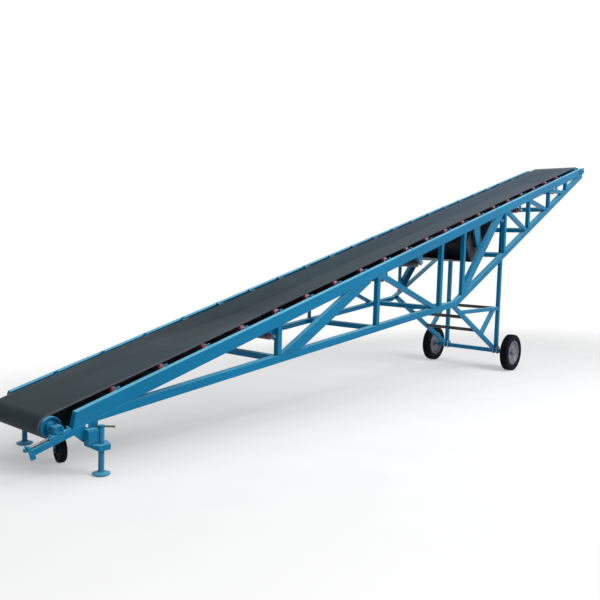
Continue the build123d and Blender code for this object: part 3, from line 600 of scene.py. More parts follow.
class Finishes:
    """Every finish of the machine, made once."""

    def __init__(self) -> None:
        """Builds the materials."""
        self.blue = BluePaint().make()
        # A darker copy of the blue enamel, as painted shade for the caster fork under the tail.
        self.shade_painted_blue = BluePaint("shaded blue enamel", (0.001, 0.018, 0.045), (0.002, 0.026, 0.060)).make()
        self.cast_blue = BluePaint("blue casting enamel", fresh=(0.002, 0.140, 0.270), chips=0.68).make()
        self.pulley = BluePaint("pulley enamel", fresh=(0.004, 0.120, 0.220), chips=0.64).make()
        self.belt = BeltRubber().make()
        self.tyre = TyreRubber().make()
        self.caster = TyreRubber("caster rubber", bloom=(0.010, 0.010, 0.012)).make()
        self.rim = RimPaint().make()
        # The tubes take a darker copy of the primer than the caps, as painted shade under the belt's edge.
        self.roll = RollPaint().make()
        self.roll_cap = RollPaint("roll cap primer", (0.400, 0.120, 0.170), (0.280, 0.080, 0.120)).make()
        self.steel = TurnedSteel().make()
        self.screw = TurnedSteel("greased screw", steel=(0.200, 0.205, 0.190), rusting=0.66).make()
        self.olive = TurnedSteel("olive steel", steel=(0.110, 0.110, 0.065), rusting=0.64).make()
        self.black = BlackEnamel().make()
        self.weld = WeldMetal().make()
        self.zinc = ZincPlate().make()


def add_object(name: str, data: bpy.types.ID) -> bpy.types.Object:
    """Makes an object and links it to the scene.

    Args:
        name: Its name.
        data: Its mesh, lamp or camera.

    Returns:
        The object.
    """
    made = bpy.data.objects.new(name, data)
    bpy.context.scene.collection.objects.link(made)
    return made


def mirrored(half: Profile) -> list[tuple[float, float]]:
    """Whole section of a solid of revolution from the half that starts at its middle plane."""
    return [*reversed(half), *((r, -d) for r, d in half if d != 0.0)]


class Piece:
    """A mesh under construction with bmesh operators, in the part's frame."""

    def __init__(self, name: str) -> None:
        """Starts an empty mesh.

        Args:
            name: The finished object's name.
        """
        self.name = name
        self.bm = bmesh.new()
        self.spun = False

    @staticmethod
    def facing(direction: Point, spin: float = 0.0) -> Matrix:
        """Rotation that takes +Z to a direction, after a spin about it."""
        turn = Vector(direction).to_track_quat("Z", "Y").to_matrix().to_4x4()
        return turn @ Matrix.Rotation(spin, 4, "Z")

    def bar(
        self,
        start: Point,
        end: Point,
        radius: float,
        sides: int,
        tip: Optional[float] = None,
        spin: float = 0.0,
    ) -> None:
        """Adds a round or many-sided bar.

        Args:
            start: Middle of its foot.
            end: Middle of its tip.
            radius: Radius of the foot.
            sides: Number of sides.
            tip: Radius of the tip, or None for the same.
            spin: Turn about its own axis.
        """
        a, b = Vector(start), Vector(end)
        bmesh.ops.create_cone(
            self.bm,
            cap_ends=True,
            segments=sides,
            radius1=radius,
            radius2=radius if tip is None else tip,
            depth=(b - a).length,
            matrix=Matrix.Translation((a + b) / 2) @ self.facing(b - a, spin),
        )

    def ball(self, centre: Point, radius: float, fineness: int, squash: float = 1.0) -> None:
        """Adds a ball, flattened along Z by a factor."""
        place = Matrix.Translation(centre) @ Matrix.Diagonal((1.0, 1.0, squash, 1.0))
        bmesh.ops.create_icosphere(self.bm, subdivisions=fineness, radius=radius, matrix=place)

    def block(self, centre: Vector, size: Point, turn: Matrix, softness: float) -> None:
        """Adds a turned block with softened edges.

        Args:
            centre: Its middle.
            size: Its three sides.
            turn: Its rotation.
            softness: Width of the softened edges.
        """
        place = Matrix.Translation(centre) @ turn @ Matrix.Diagonal((*size, 1.0))
        verts = bmesh.ops.create_cube(self.bm, size=1.0, matrix=place)["verts"]
        self.soften({e for v in verts for e in v.link_edges}, softness, 2)

    def soften(self, edges: Iterable, width: float, segments: int) -> None:
        """Bevels edges.

        Args:
            edges: The edges.
            width: Width of the bevel.
            segments: Steps of the bevel.
        """
        bmesh.ops.bevel(
            self.bm,
            geom=list(edges),
            offset=width,
            offset_type="OFFSET",
            segments=segments,
            profile=0.5,
            affect="EDGES",
            material=-1,
            clamp_overlap=True,
        )

    def turned(self, profile: Profile, centre: Point, axis: Point, steps: int) -> None:
        """Adds a closed solid of revolution.

        Args:
            profile: (radius, distance along the axis) points, round a closed section or from the axis
                back to the axis.
            centre: Point that the distances start from.
            axis: Direction of the axis.
            steps: Steps round.
        """
        place = Matrix.Translation(Vector(centre)) @ self.facing(axis)
        verts = [self.bm.verts.new(place @ Vector((r, 0.0, h))) for r, h in profile]
        edges = [self.bm.edges.new((a, b)) for a, b in zip(verts, verts[1:])]
        if profile[0][0] > 0.0:
            edges.append(self.bm.edges.new((verts[-1], verts[0])))
        bmesh.ops.spin(
            self.bm,
            geom=verts + edges,
            cent=place.translation,
            axis=(place.to_3x3() @ Vector(UP)).normalized(),
            angle=2 * math.pi,
            steps=steps,
            use_merge=True,
        )
        self.spun = True

    def hex_bolt(self, foot: Point, out: Point, across: float, shank: float = 0.0) -> None:
        """Adds a bolt's head or nut with its washer, and a stub of thread.

        Args:
            foot: Point on the surface.
            out: Outward direction.
            across: Size across the flats.
            shank: Length of thread that stands past a nut.
        """
        out = Vector(out).normalized()
        sunk, washer, seat, dome = 0.0008, 0.0034, 0.0026, 0.0006
        height, corner, thread = across * 0.52, across * 0.577, across * 0.31
        foot = Vector(foot) - out * sunk
        self.bar(foot, foot + out * washer, across * 0.62, 14)
        head = foot + out * seat
        crown = head + out * height
        self.bar(head, crown, corner, 6, spin=0.3)
        self.bar(crown - out * dome, crown + out * across * 0.05, across * 0.50, 12, across * 0.44)
        if shank > 0.0:
            self.bar(crown, crown + out * shank, thread, 10, across * 0.27)

    def bead(self, start: Point, end: Point, radius: float = 0.0032) -> None:
        """Adds a rippled weld bead between two points.

        Args:
            start: First end.
            end: Last end.
            radius: Half its width.
        """
        a, b = Vector(start), Vector(end)
        count = max(2, int((b - a).length / (radius * 1.25)))
        for i in range(count + 1):
            self.ball(a.lerp(b, i / count), radius, 1, 0.85)

    def threaded(self, start: Point, end: Point, radius: float, pitch: float, sides: int) -> None:
        """Adds a screw's thread as closed ridges.

        Args:
            start: First end of the thread.
            end: Last end.
            radius: Outer radius.
            pitch: Distance from ridge to ridge.
            sides: Steps round.
        """
        a, b = Vector(start), Vector(end)
        turns = int((b - a).length / pitch)
        core, root = radius * 0.5, radius * 0.90
        ridge = ((root, 0.05), (radius, 0.30), (radius, 0.60), (root, 0.85))
        ridges = [(r, i * pitch + pitch * share) for i in range(turns) for r, share in ridge]
        self.turned([(core, 0.0), *ridges, (core, turns * pitch)], a, b - a, sides)

    def finish(
        self,
        body: Body,
        material: bpy.types.Material,
        slot: Slot,
        replaces: Sequence[str] = (),
        smooth: float = 35.0,
    ) -> None:
        """Makes the object and hangs it on its body. Spun shapes are merged and turned outwards first.

        Args:
            body: The body it rides on.
            material: Its finish.
            slot: The record's slot. Not used.
            replaces: CAD nodes that it stands for.
            smooth: Angle in degrees up to which faces shade smoothly.
        """
        if self.spun:
            bmesh.ops.remove_doubles(self.bm, verts=self.bm.verts, dist=SPUN_SEAM)
            bmesh.ops.recalc_face_normals(self.bm, faces=self.bm.faces)
        for face in self.bm.faces:
            face.smooth = True
        for edge in self.bm.edges:
            if len(edge.link_faces) == 2:
                edge.smooth = edge.calc_face_angle(math.pi) < math.radians(smooth)
        mesh = bpy.data.meshes.new(self.name)
        self.bm.to_mesh(mesh)
        self.bm.free()
        mesh.materials.append(material)
        made = add_object(self.name, mesh)
        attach(made, body.value)
        if replaces:
            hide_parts(*replaces)
        log.info("%s: %d faces on %s", self.name, len(mesh.polygons), body.value)


def rounded_copy(node: str, body: Body, material: bpy.types.Material, slot: Slot, width: float) -> None:
    """Stands a copy with softened edges in for a CAD node.

    Args:
        node: The CAD node.
        body: The body it rides on.
        material: Its finish.
        slot: The record's slot.
        width: Width of the softened edges.
    """
    piece = Piece(f"{node}_soft")
    bm = piece.bm
    bm.from_mesh(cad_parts[node].data)
    bmesh.ops.remove_doubles(bm, verts=bm.verts, dist=SAME_PLACE)
    bmesh.ops.dissolve_limit(
        bm, angle_limit=FLAT_ANGLE, use_dissolve_boundaries=False, verts=bm.verts, edges=bm.edges
    )
    sharp = [e for e in bm.edges if len(e.link_faces) == 2 and e.calc_face_angle(0.0) > SHARP_ANGLE]
    piece.soften(sharp, width, 1)
    piece.finish(body, material, slot, (node,), 25.0)


def paint(material: bpy.types.Material, *nodes: str) -> None:
    """Gives CAD nodes their finish.

    Args:
        material: The finish.
        nodes: The CAD nodes.
    """
    for node in nodes:
        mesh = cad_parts[node].data
        mesh.materials.clear()
        mesh.materials.append(material)


def islands(node: str) -> list[list[Vector]]:
    """Separate solids of a CAD node.

    Args:
        node: The CAD node.

    Returns:
        For each solid, its points.
    """
    bm = bmesh.new()
    bm.from_mesh(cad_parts[node].data)
    bmesh.ops.remove_doubles(bm, verts=bm.verts, dist=SAME_PLACE)
    left = set(bm.verts)
    found = []
    for start in bm.verts:
        if start not in left:
            continue
        left.discard(start)
        group, stack = [start], [start]
        while stack:
            for edge in stack.pop().link_edges:
                for vert in edge.verts:
                    if vert in left:
                        left.discard(vert)
                        group.append(vert)
                        stack.append(vert)
        found.append([v.co.copy() for v in group])
    bm.free()
    return found


def outer_ends(points: list[Vector], y: float) -> list[tuple[Vector, Vector]]:
    """Foot and head edges of a web member on the truss's outer face.

    Args:
        points: The member's points.
        y: Place of the outer face.

    Returns:
        The lowest and the highest edge, or nothing where the member stays inside.
    """
    flat = [p for p in points if abs(p.y - y) < 0.001]
    flat.sort(key=lambda p: p.z - p.x * math.tan(INCLINE))
    return [(flat[0], flat[1]), (flat[-2], flat[-1])] if len(flat) >= 4 else []


@dataclass
class Boom:
    """Stringers, chords, web and cross members, legs and tail steelwork, with the web's welds."""

    finishes: Finishes
    softness: float = 0.0013
    weld_proud: float = 0.0006
    paired: tuple[str, ...] = ("stringer", "tail_chord", "head_chord", "truss_posts", "truss_braces")
    single: tuple[str, ...] = (
        "cross_members", "drive_hangers", "roller_hangers", "idler_stands", "idler_bars", "tail_plates",
        "tail_beam", "takeup_rails", "head_plates", "jack_housings", "leg_posts", "leg_diagonals",
        "leg_ties", "axle",
    )

    def build(self) -> None:
        """Softens the steelwork's edges and adds its welds."""
        paired = [f"{stem}_{side.word}" for stem in self.paired for side in Side]
        for node in (*paired, *self.single):
            rounded_copy(node, Body.FRAME, self.finishes.blue, Slot.BLUE, self.softness)
        for side in Side:
            self.welds(side)

    def welds(self, side: Side) -> None:
        """Lays a bead along the foot and head of each web member, on its outer face.

        Args:
            side: The side of the truss.
        """
        piece = Piece(f"web_welds_{side.word}")
        y = side.value * (FRAME_HALF + self.weld_proud)
        for node in (f"truss_posts_{side.word}", f"truss_braces_{side.word}"):
            for island in islands(node):
                for a, b in outer_ends(island, side.value * FRAME_HALF):
                    piece.bead((a.x, y, a.z), (b.x, y, b.z))
        piece.finish(Body.FRAME, self.finishes.weld, Slot.BLUE)


@dataclass
class Belt:
    """Both runs of the belt, as the CAD has them."""

    finishes: Finishes

    def build(self) -> None:
        """Dresses the belt."""
        paint(self.finishes.belt, "belt_carrying_run", "belt_return_run")


@dataclass
class Pulleys:
    """Tail and head pulley, drive drum, bend rollers and their bearings."""

    finishes: Finishes
    height: float = -0.0635
    radius: float = 0.070
    face: float = 0.700
    rim: float = 0.008
    recess: float = 0.022
    hub: float = 0.032
    shaft: float = 0.015
    shaft_end: float = 0.438
    tail_u: float = -0.098
    head_u: float = 9.290
    bearing_y: float = 0.430
    bearing_bore: float = 0.0155
    bearing_top: float = 0.0335
    block: tuple[float, float, float] = (0.160, 0.034, 0.015)
    block_softness: float = 0.0035
    block_bolt: float = 0.062
    rail_w: float = -0.100
    screw_w: float = -0.089
    screw_radius: float = 0.008
    screw_pitch: float = 0.0025
    screw_tail_u: float = -0.348
    stop_u: float = -0.326
    stop_plate: float = 0.010
    head_plate_y: float = 0.437
    head_bolts_u: tuple[float, ...] = (9.190, 9.120)
    head_bolts_w: tuple[float, ...] = (-0.030, -0.070)

    def build(self) -> None:
        """Dresses the drums and builds the pulleys, bearings and take-up screws."""
        paint(self.finishes.black, "drive_drum", "bend_rollers")
        self.pulley("tail_pulley", self.tail_u)
        self.pulley("head_pulley", self.head_u)
        self.castings()
        self.fasteners()
        self.screws()

    def pulley(self, node: str, u: float) -> None:
        """Spins one end pulley with its sunk end discs.

        Args:
            node: The CAD node it stands for.
            u: Its place up the slope.
        """
        end, lip, deep = self.face / 2, self.radius - self.rim, self.face / 2 - self.recess
        shell = [(self.radius, end - 0.0015), (self.radius - 0.0015, end), (lip, end), (lip - 0.001, deep)]
        hub = [(self.hub + 0.002, deep), (self.hub, end - 0.002), (self.hub - 0.003, end), (self.shaft, end)]
        tip = self.shaft_end
        shaft = [(self.shaft, tip - 0.0015), (self.shaft - 0.0015, tip), (0.0, tip)]
        piece = Piece(f"{node}_turned")
        piece.turned(mirrored(shell + hub + shaft), on_slope(u, 0.0, self.height), ACROSS, 44)
        piece.finish(Body.FRAME, self.finishes.pulley, Slot.STEEL, (node,))

    def castings(self) -> None:
        """Builds the pillow blocks at the tail and the flanged bearings at the head."""
        piece = Piece("bearing_castings")
        slant = Matrix.Rotation(-INCLINE, 4, "Y")
        bore, half = self.bearing_bore, self.block[1] / 2
        ring = [(bore, -half), (0.030, -half), (0.034, 0.004 - half), (0.034, half - 0.004)]
        ring += [(0.030, half), (0.022, half), (0.021, half - 0.003), (bore, half - 0.003)]
        flange = [(bore, 0.0), (0.038, 0.0), (0.038, 0.009), (0.030, 0.012), (0.027, 0.024), (bore, 0.024)]
        for side in Side:
            y = side.value * self.bearing_y
            foot = on_slope(self.tail_u, y, self.rail_w + self.block[2] / 2)
            piece.block(foot, self.block, slant, self.block_softness)
            piece.turned(ring, on_slope(self.tail_u, y, self.height), side.out, 36)
            plate = on_slope(self.head_u, side.value * self.head_plate_y, self.height)
            piece.turned(flange, plate, -side.out, 36)
        piece.finish(Body.FRAME, self.finishes.cast_blue, Slot.CAST, ("pulley_bearings",))

    def fasteners(self) -> None:
        """Adds bearing bolts, grease nipples, the take-up screws' nuts and the head plates' bolts."""
        piece = Piece("pulley_fasteners")
        for side in Side:
            y = side.value * self.bearing_y
            for du in (-self.block_bolt, self.block_bolt):
                foot = on_slope(self.tail_u + du, y, self.rail_w + self.block[2])
                piece.hex_bolt(foot, OFF_SLOPE, 0.018, shank=0.007)
            foot = on_slope(self.tail_u, y, self.height + self.bearing_top)
            waist = foot + OFF_SLOPE * 0.006
            piece.bar(foot, waist, 0.0035, 6)
            piece.bar(waist, foot + OFF_SLOPE * 0.011, 0.0022, 8, 0.0030)
            for u, way in ((self.stop_u, -1.0), (self.stop_u + self.stop_plate, 1.0)):
                piece.hex_bolt(on_slope(u, y, self.screw_w), UP_SLOPE * way, 0.026)
            for u in self.head_bolts_u:
                for w in self.head_bolts_w:
                    piece.hex_bolt(on_slope(u, side.value * FRAME_HALF, w), side.out, 0.019)
        piece.finish(Body.FRAME, self.finishes.cast_blue, Slot.BLUE)

    def screws(self) -> None:
        """Cuts the thread of both take-up screws."""
        piece = Piece("takeup_threads")
        for side in Side:
            y = side.value * self.bearing_y
            start = on_slope(self.screw_tail_u, y, self.screw_w)
            end = on_slope(self.tail_u - self.block[0] / 2, y, self.screw_w)
            piece.threaded(start, end, self.screw_radius, self.screw_pitch, 12)
        piece.finish(Body.FRAME, self.finishes.screw, Slot.STEEL, ("takeup_screws",))


@dataclass
class Idlers:
    """Troughing rolls and return rolls, with their end caps and the hangers' nuts."""

    finishes: Finishes
    first: float = 0.405
    pitch: float = 0.425
    count: int = 20
    radius: float = 0.030
    centre_length: float = 0.240
    wing_length: float = 0.215
    wing_offset: float = 0.012
    flat: float = 0.250
    wing_width: float = 0.200
    belt_low: float = 0.0065
    return_radius: float = 0.038
    return_length: float = 0.720
    return_w: float = -0.1795
    return_u: tuple[float, ...] = (1.970, 3.700, 7.000, 8.300)
    bend_w: float = -0.1955
    bend_u: tuple[float, ...] = (4.380, 6.420)
    hanger_y: float = 0.402
    shaft_radius: float = 0.0125
    shaft_end: float = 0.392
    cap: float = 0.006
    # u, wing angle in degrees
    sections: Profile = (
        (-0.098, 0.0), (1.100, 0.0), (2.100, 20.0), (8.390, 20.0), (9.090, 0.0), (9.290, 0.0),
    )

    def build(self) -> None:
        """Builds every roll."""
        self.caps = Piece("roll_caps")
        self.troughing()
        self.returning()
        self.caps.finish(Body.FRAME, self.finishes.roll_cap, Slot.ROLL)
        self.nuts()

    def angle(self, u: float) -> float:
        """Angle of the belt's wings.

        Args:
            u: Place up the slope.

        Returns:
            The angle in radians.
        """
        for (u0, a0), (u1, a1) in zip(self.sections, self.sections[1:]):
            if u0 <= u <= u1:
                return math.radians(a0 + (a1 - a0) * (u - u0) / (u1 - u0))
        return 0.0

    def roll(self, piece: Piece, start: Vector, end: Vector, radius: float) -> None:
        """Adds one roll's tube, and its end caps and spindle tips to the caps.

        Args:
            piece: The tubes' piece.
            start: First end.
            end: Last end.
            radius: The tube's radius.
        """
        along = (end - start).normalized()
        piece.bar(start + along * self.cap / 2, end - along * self.cap / 2, radius, 20)
        for tip, out in ((start, -along), (end, along)):
            self.caps.bar(tip - out * self.cap, tip, radius * 0.985, 20, radius * 0.86)
            self.caps.bar(tip - out * 0.001, tip + out * 0.004, radius * 0.34, 8, radius * 0.28)

    def troughing(self) -> None:
        """Builds the centre rolls and wing rolls."""
        centres, wings = Piece("centre_roll_tubes"), Piece("wing_roll_tubes")
        half = self.centre_length / 2
        for i in range(self.count):
            u = self.first + i * self.pitch
            t = self.angle(u)
            low = self.belt_low - self.wing_width * math.sin(t)
            w = low - self.radius
            self.roll(centres, on_slope(u, -half, w), on_slope(u, half, w), self.radius)
            corner = (self.flat / 2 + self.radius * math.sin(t), low - self.radius * math.cos(t))
            for side in Side:
                ends = []
                for length in (self.wing_offset, self.wing_offset + self.wing_length):
                    y = side.value * (corner[0] + length * math.cos(t))
                    ends.append(on_slope(u, y, corner[1] + length * math.sin(t)))
                self.roll(wings, ends[0], ends[1], self.radius)
        centres.finish(Body.FRAME, self.finishes.roll, Slot.ROLL, ("centre_rolls",))
        wings.finish(Body.FRAME, self.finishes.roll, Slot.ROLL, ("wing_rolls",))

    def returning(self) -> None:
        """Builds the return rolls on their through shafts."""
        piece = Piece("return_roll_tubes")
        half = self.return_length / 2
        for u in self.return_u:
            near, far = (on_slope(u, side.value * half, self.return_w) for side in Side)
            self.roll(piece, near, far, self.return_radius)
            for side, face in ((Side.NEAR, near), (Side.FAR, far)):
                tip = on_slope(u, side.value * self.shaft_end, self.return_w)
                piece.bar(face, tip, self.shaft_radius, 16)
        piece.finish(Body.FRAME, self.finishes.roll, Slot.ROLL, ("return_rolls",))

    def nuts(self) -> None:
        """Puts a nut on each shaft end outside its hanger."""
        piece = Piece("roller_nuts")
        shafts = [(u, self.return_w, 0.030, 0.005) for u in self.return_u]
        shafts += [(u, self.bend_w, 0.036, 0.006) for u in self.bend_u]
        for side in Side:
            for u, w, across, shank in shafts:
                piece.hex_bolt(on_slope(u, side.value * self.hanger_y, w), side.out, across, shank=shank)
        piece.finish(Body.FRAME, self.finishes.zinc, Slot.STEEL)


@dataclass
class RoadWheel:
    """Tyre and rim of one road wheel."""

    finishes: Finishes
    side: Side
    centre: tuple[float, float, float] = (1.96534, 0.5695, 0.235)
    radius: float = 0.235
    width: float = 0.110
    rim_radius: float = 0.1525
    tread_steps: int = 72
    tread_depth: float = 0.0045
    crown_depth: float = 0.0075
    middle_rib: float = 0.012
    stud_radius: float = 0.072
    valve_radius: float = 0.128
    # radius, distance outwards from the wheel's middle
    disc: Profile = (
        (0.0178, -0.042), (0.032, -0.042), (0.034, -0.040), (0.034, -0.016), (0.120, -0.006),
        (0.138, -0.010), (0.140, -0.041), (0.1525, -0.042), (0.1525, 0.042), (0.1450, 0.042),
        (0.1430, 0.036), (0.1400, 0.030), (0.1250, 0.008), (0.1100, 0.005), (0.0850, 0.012),
        (0.0600, 0.012), (0.0360, 0.006), (0.0340, 0.012), (0.0340, 0.040), (0.0320, 0.042),
        (0.0178, 0.042),
    )
    dust_cap: Profile = (
        (0.0, 0.0530), (0.022, 0.0530), (0.0275, 0.0490), (0.0290, 0.0405), (0.0250, 0.0405),
        (0.0240, 0.0495), (0.0, 0.0500),
    )
    # height above the rim, distance in from the tyre's side
    wall: Profile = (
        (0.0, 0.014), (0.006, 0.009), (0.012, 0.0075), (0.016, 0.009), (0.022, 0.004),
        (0.036, 0.0005), (0.050, 0.001), (0.053, 0.003), (0.060, 0.003),
    )
    # depth below the tread, distance in from the tyre's side
    shoulder: Profile = ((0.016, 0.006), (0.008, 0.013))
    # depth below the tread, distance from the tyre's middle
    ribs: Profile = (
        (0.006, 0.036), (0.0055, 0.022), (0.0120, 0.020), (0.0120, 0.016), (0.0050, 0.014),
        (0.0050, 0.003), (0.0120, 0.0015),
    )

    def build(self) -> None:
        """Builds the pieces on their body."""
        self.body = Body(f"wheel_{self.side.word}")
        x, y, z = self.centre
        self.middle = Vector((x, y * self.side.value, z))
        self.rim()
        self.nuts()
        self.tyre()

    def rim(self) -> None:
        """Spins the rim with its dished disc, its hub and the hub's cap."""
        piece = Piece(f"road_rim_{self.side.word}")
        piece.turned(self.disc, self.middle, self.side.out, 56)
        piece.turned(self.dust_cap, self.middle, self.side.out, 32)
        piece.finish(self.body, self.finishes.rim, Slot.RIM, (f"rim_{self.side.word}",), 30.0)

    @staticmethod
    def spoke(degrees: float) -> Vector:
        """Direction from the hub at an angle above the +X direction."""
        turn = math.radians(degrees)
        return Vector((math.cos(turn), 0.0, math.sin(turn)))

    def nuts(self) -> None:
        """Puts five nuts round the disc, and the tyre's valve."""
        piece = Piece(f"rim_nuts_{self.side.word}")
        out = self.side.out
        for i in range(5):
            foot = self.middle + self.spoke(72 * i + 18) * self.stud_radius + out * 0.0118
            piece.hex_bolt(foot, out, 0.021, shank=0.006)
        spoke = self.spoke(250)
        foot = self.middle + spoke * self.valve_radius + out * 0.010
        piece.bar(foot, foot + out * 0.026 - spoke * 0.006, 0.0035, 10, 0.0030)
        piece.finish(self.body, self.finishes.zinc, Slot.RIM)

    def tyre(self) -> None:
        """Spins the carcass and raises its tread blocks."""
        side = -self.width / 2
        half = [(self.rim_radius + rise, side + inset) for rise, inset in self.wall]
        half += [(self.radius - depth, side + inset) for depth, inset in self.shoulder]
        half += [(self.radius - depth, -distance) for depth, distance in self.ribs]
        piece = Piece(f"road_tyre_{self.side.word}")
        piece.turned(mirrored(half[::-1]), self.middle, ACROSS, self.tread_steps)
        self.raise_blocks(piece)
        piece.finish(self.body, self.finishes.tyre, Slot.TYRE, (f"tyre_{self.side.word}",), 30.0)

    def raise_blocks(self, piece: Piece) -> None:
        """Raises two of every three faces of each rib into blocks.

        Args:
            piece: The carcass.
        """
        chosen = []
        for face in piece.bm.faces:
            centre = face.calc_center_median() - self.middle
            out = Vector((centre.x, 0.0, centre.z))
            turn = math.atan2(out.z, out.x) / (2 * math.pi) * self.tread_steps
            rib = 0 if abs(centre.y) < self.middle_rib else (1 if centre.y > 0 else 2)
            flat = abs(face.normal.y) < 0.35 and out.length > self.radius - self.crown_depth
            # the 200 keeps the count above zero all round
            if flat and int(turn + 200 + rib) % 3:
                chosen.append(face)
        made = bmesh.ops.extrude_face_region(piece.bm, geom=chosen)
        for vert in (g for g in made["geom"] if isinstance(g, bmesh.types.BMVert)):
            out = Vector((vert.co.x - self.middle.x, 0.0, vert.co.z - self.middle.z)).normalized()
            vert.co += out * self.tread_depth
        bmesh.ops.delete(piece.bm, geom=chosen, context="FACES_ONLY")


@dataclass
class Caster:
    """Tail caster on its kingpin."""

    finishes: Finishes
    centre: tuple[float, float, float] = (-4.22233, -0.07779, 0.091)
    axis: tuple[float, float, float] = (0.97237, -0.23345, 0.0)
    radius: float = 0.091
    half_width: float = 0.025
    cheek: float = 0.037
    softness: float = 0.0012

    def build(self) -> None:
        """Builds the fork, the wheel and their nuts."""
        paint(self.finishes.steel, "caster_pin")
        # The fork takes the darker copy of the blue enamel as painted shade.
        rounded_copy("caster_fork", Body.CASTER, self.finishes.shade_painted_blue, Slot.BLUE, self.softness)
        self.wheel()
        piece = Piece("caster_axle_nuts")
        for way in (-1.0, 1.0):
            out = Vector(self.axis) * way
            foot = Vector(self.centre) + out * self.cheek
            piece.bar(foot + out * 0.004, foot + out * 0.014, 0.0068, 14, 0.0062)
        piece.finish(Body.CASTER, self.finishes.zinc, Slot.BLUE)

    def wheel(self) -> None:
        """Spins the caster's wheel, tread and hub in one."""
        r, h = self.radius, self.half_width
        tread = [(r, 0.0), (r - 0.0002, 0.012), (r - 0.0020, 0.019), (r - 0.0060, h - 0.001), (r - 0.0120, h)]
        wall = [(r - 0.0240, h), (r - 0.0270, h - 0.003), (r - 0.0290, h - 0.008)]
        hub = [(0.026, h - 0.008), (0.021, h - 0.004), (0.019, h + 0.004), (0.0074, h + 0.004)]
        piece = Piece("caster_wheel_turned")
        piece.turned(mirrored(tread + wall + hub), self.centre, self.axis, 48)
        piece.finish(Body.CASTER_ROLLER, self.finishes.caster, Slot.CASTER, ("caster_wheel",), 30.0)


@dataclass
class Jack:
    """Screw jack of one side."""

    finishes: Finishes
    side: Side
    place: tuple[float, float] = (-4.17366, 0.497)
    radius: float = 0.020
    pitch: float = 0.006
    foot_radius: float = 0.060
    thread_low: float = 0.027
    thread_high: float = 0.316
    handle_z: float = 0.326
    handle_radius: float = 0.0068
    handle_way: tuple[float, float] = (0.65, 0.76)
    handle_ends: tuple[float, float] = (-0.028, 0.082)
    weld_y: float = 0.4508
    welds_x: tuple[float, float] = (-0.0990, -0.0228)
    welds_z: tuple[float, float] = (0.216, 0.302)

    def build(self) -> None:
        """Builds foot, thread and handle on the screw's body, and the housing's welds."""
        self.body = Body(f"jack_{self.side.word}")
        self.x, self.y = self.place[0], self.place[1] * self.side.value
        self.foot()
        self.screw()
        self.lever()
        self.welds()

    def foot(self) -> None:
        """Spins the foot plate with its boss."""
        r = self.foot_radius
        profile = [(0.0, 0.0), (0.0485, 0.0), (0.0500, 0.0008), (r - 0.0008, 0.0075), (r, 0.009)]
        profile += [(r, 0.0130), (r - 0.001, 0.0143), (0.0250, 0.0250), (0.0235, 0.0290), (0.0, 0.0290)]
        piece = Piece(f"jack_foot_{self.side.word}")
        piece.turned(profile, (self.x, self.y, 0.0), UP, 40)
        piece.finish(self.body, self.finishes.blue, Slot.BLUE, (f"jack_screw_{self.side.word}",), 30.0)

    def screw(self) -> None:
        """Cuts the thread and adds the plain neck above it."""
        x, y, r = self.x, self.y, self.radius
        piece = Piece(f"jack_thread_{self.side.word}")
        piece.threaded((x, y, self.thread_low), (x, y, self.thread_high), r - 0.0002, self.pitch, 20)
        piece.bar((x, y, self.thread_high - 0.004), (x, y, self.handle_z + 0.0088), r - 0.001, 20, r - 0.002)
        piece.finish(self.body, self.finishes.cast_blue, Slot.BLUE, (), 30.0)

    def lever(self) -> None:
        """Adds the cross handle with a ball on each end."""
        dx, dy = self.handle_way
        ends = [(self.x + dx * d, self.y + self.side.value * dy * d, self.handle_z) for d in self.handle_ends]
        piece = Piece(f"jack_handle_{self.side.word}")
        piece.bar(ends[0], ends[1], self.handle_radius, 14)
        for end in ends:
            piece.ball(end, self.handle_radius + 0.002, 2)
        piece.finish(self.body, self.finishes.olive, Slot.STEEL)

    def welds(self) -> None:
        """Lays the beads that hold the housing to the tail plate."""
        piece = Piece(f"jack_welds_{self.side.word}")
        low, high = self.welds_z
        for dx in self.welds_x:
            x, y = self.x + dx, self.side.value * self.weld_y
            piece.bead((x, y, low), (x, y, high), 0.0028)
        piece.finish(Body.FRAME, self.finishes.weld, Slot.BLUE)


@dataclass
class Legs:
    """Cross tubes of the undercarriage and the U-bolts that clamp its axle."""

    finishes: Finishes
    wheel_x: float = 1.96534
    leg_y: float = 0.3625
    seat_top: float = 0.270
    axle_low: float = 0.210
    bolt_radius: float = 0.006
    bolt_half: float = 0.032
    bolt_y: float = 0.0255

    def build(self) -> None:
        """Dresses the tubes and adds the U-bolts with their nuts."""
        paint(self.finishes.black, "leg_cross_tubes")
        piece = Piece("axle_clamps")
        for side in Side:
            for dy in (-self.bolt_y, self.bolt_y):
                y = side.value * self.leg_y + dy
                ends = [self.wheel_x - self.bolt_half, self.wheel_x + self.bolt_half]
                for x in ends:
                    foot, tip = (x, y, self.axle_low - 0.007), (x, y, self.seat_top + 0.024)
                    piece.bar(foot, tip, self.bolt_radius, 12)
                    piece.hex_bolt((x, y, self.seat_top), UP, 0.019)
                low = self.axle_low - 0.0065
                piece.bar((ends[0], y, low), (ends[1], y, low), self.bolt_radius, 12)
        piece.finish(Body.FRAME, self.finishes.zinc, Slot.STEEL)


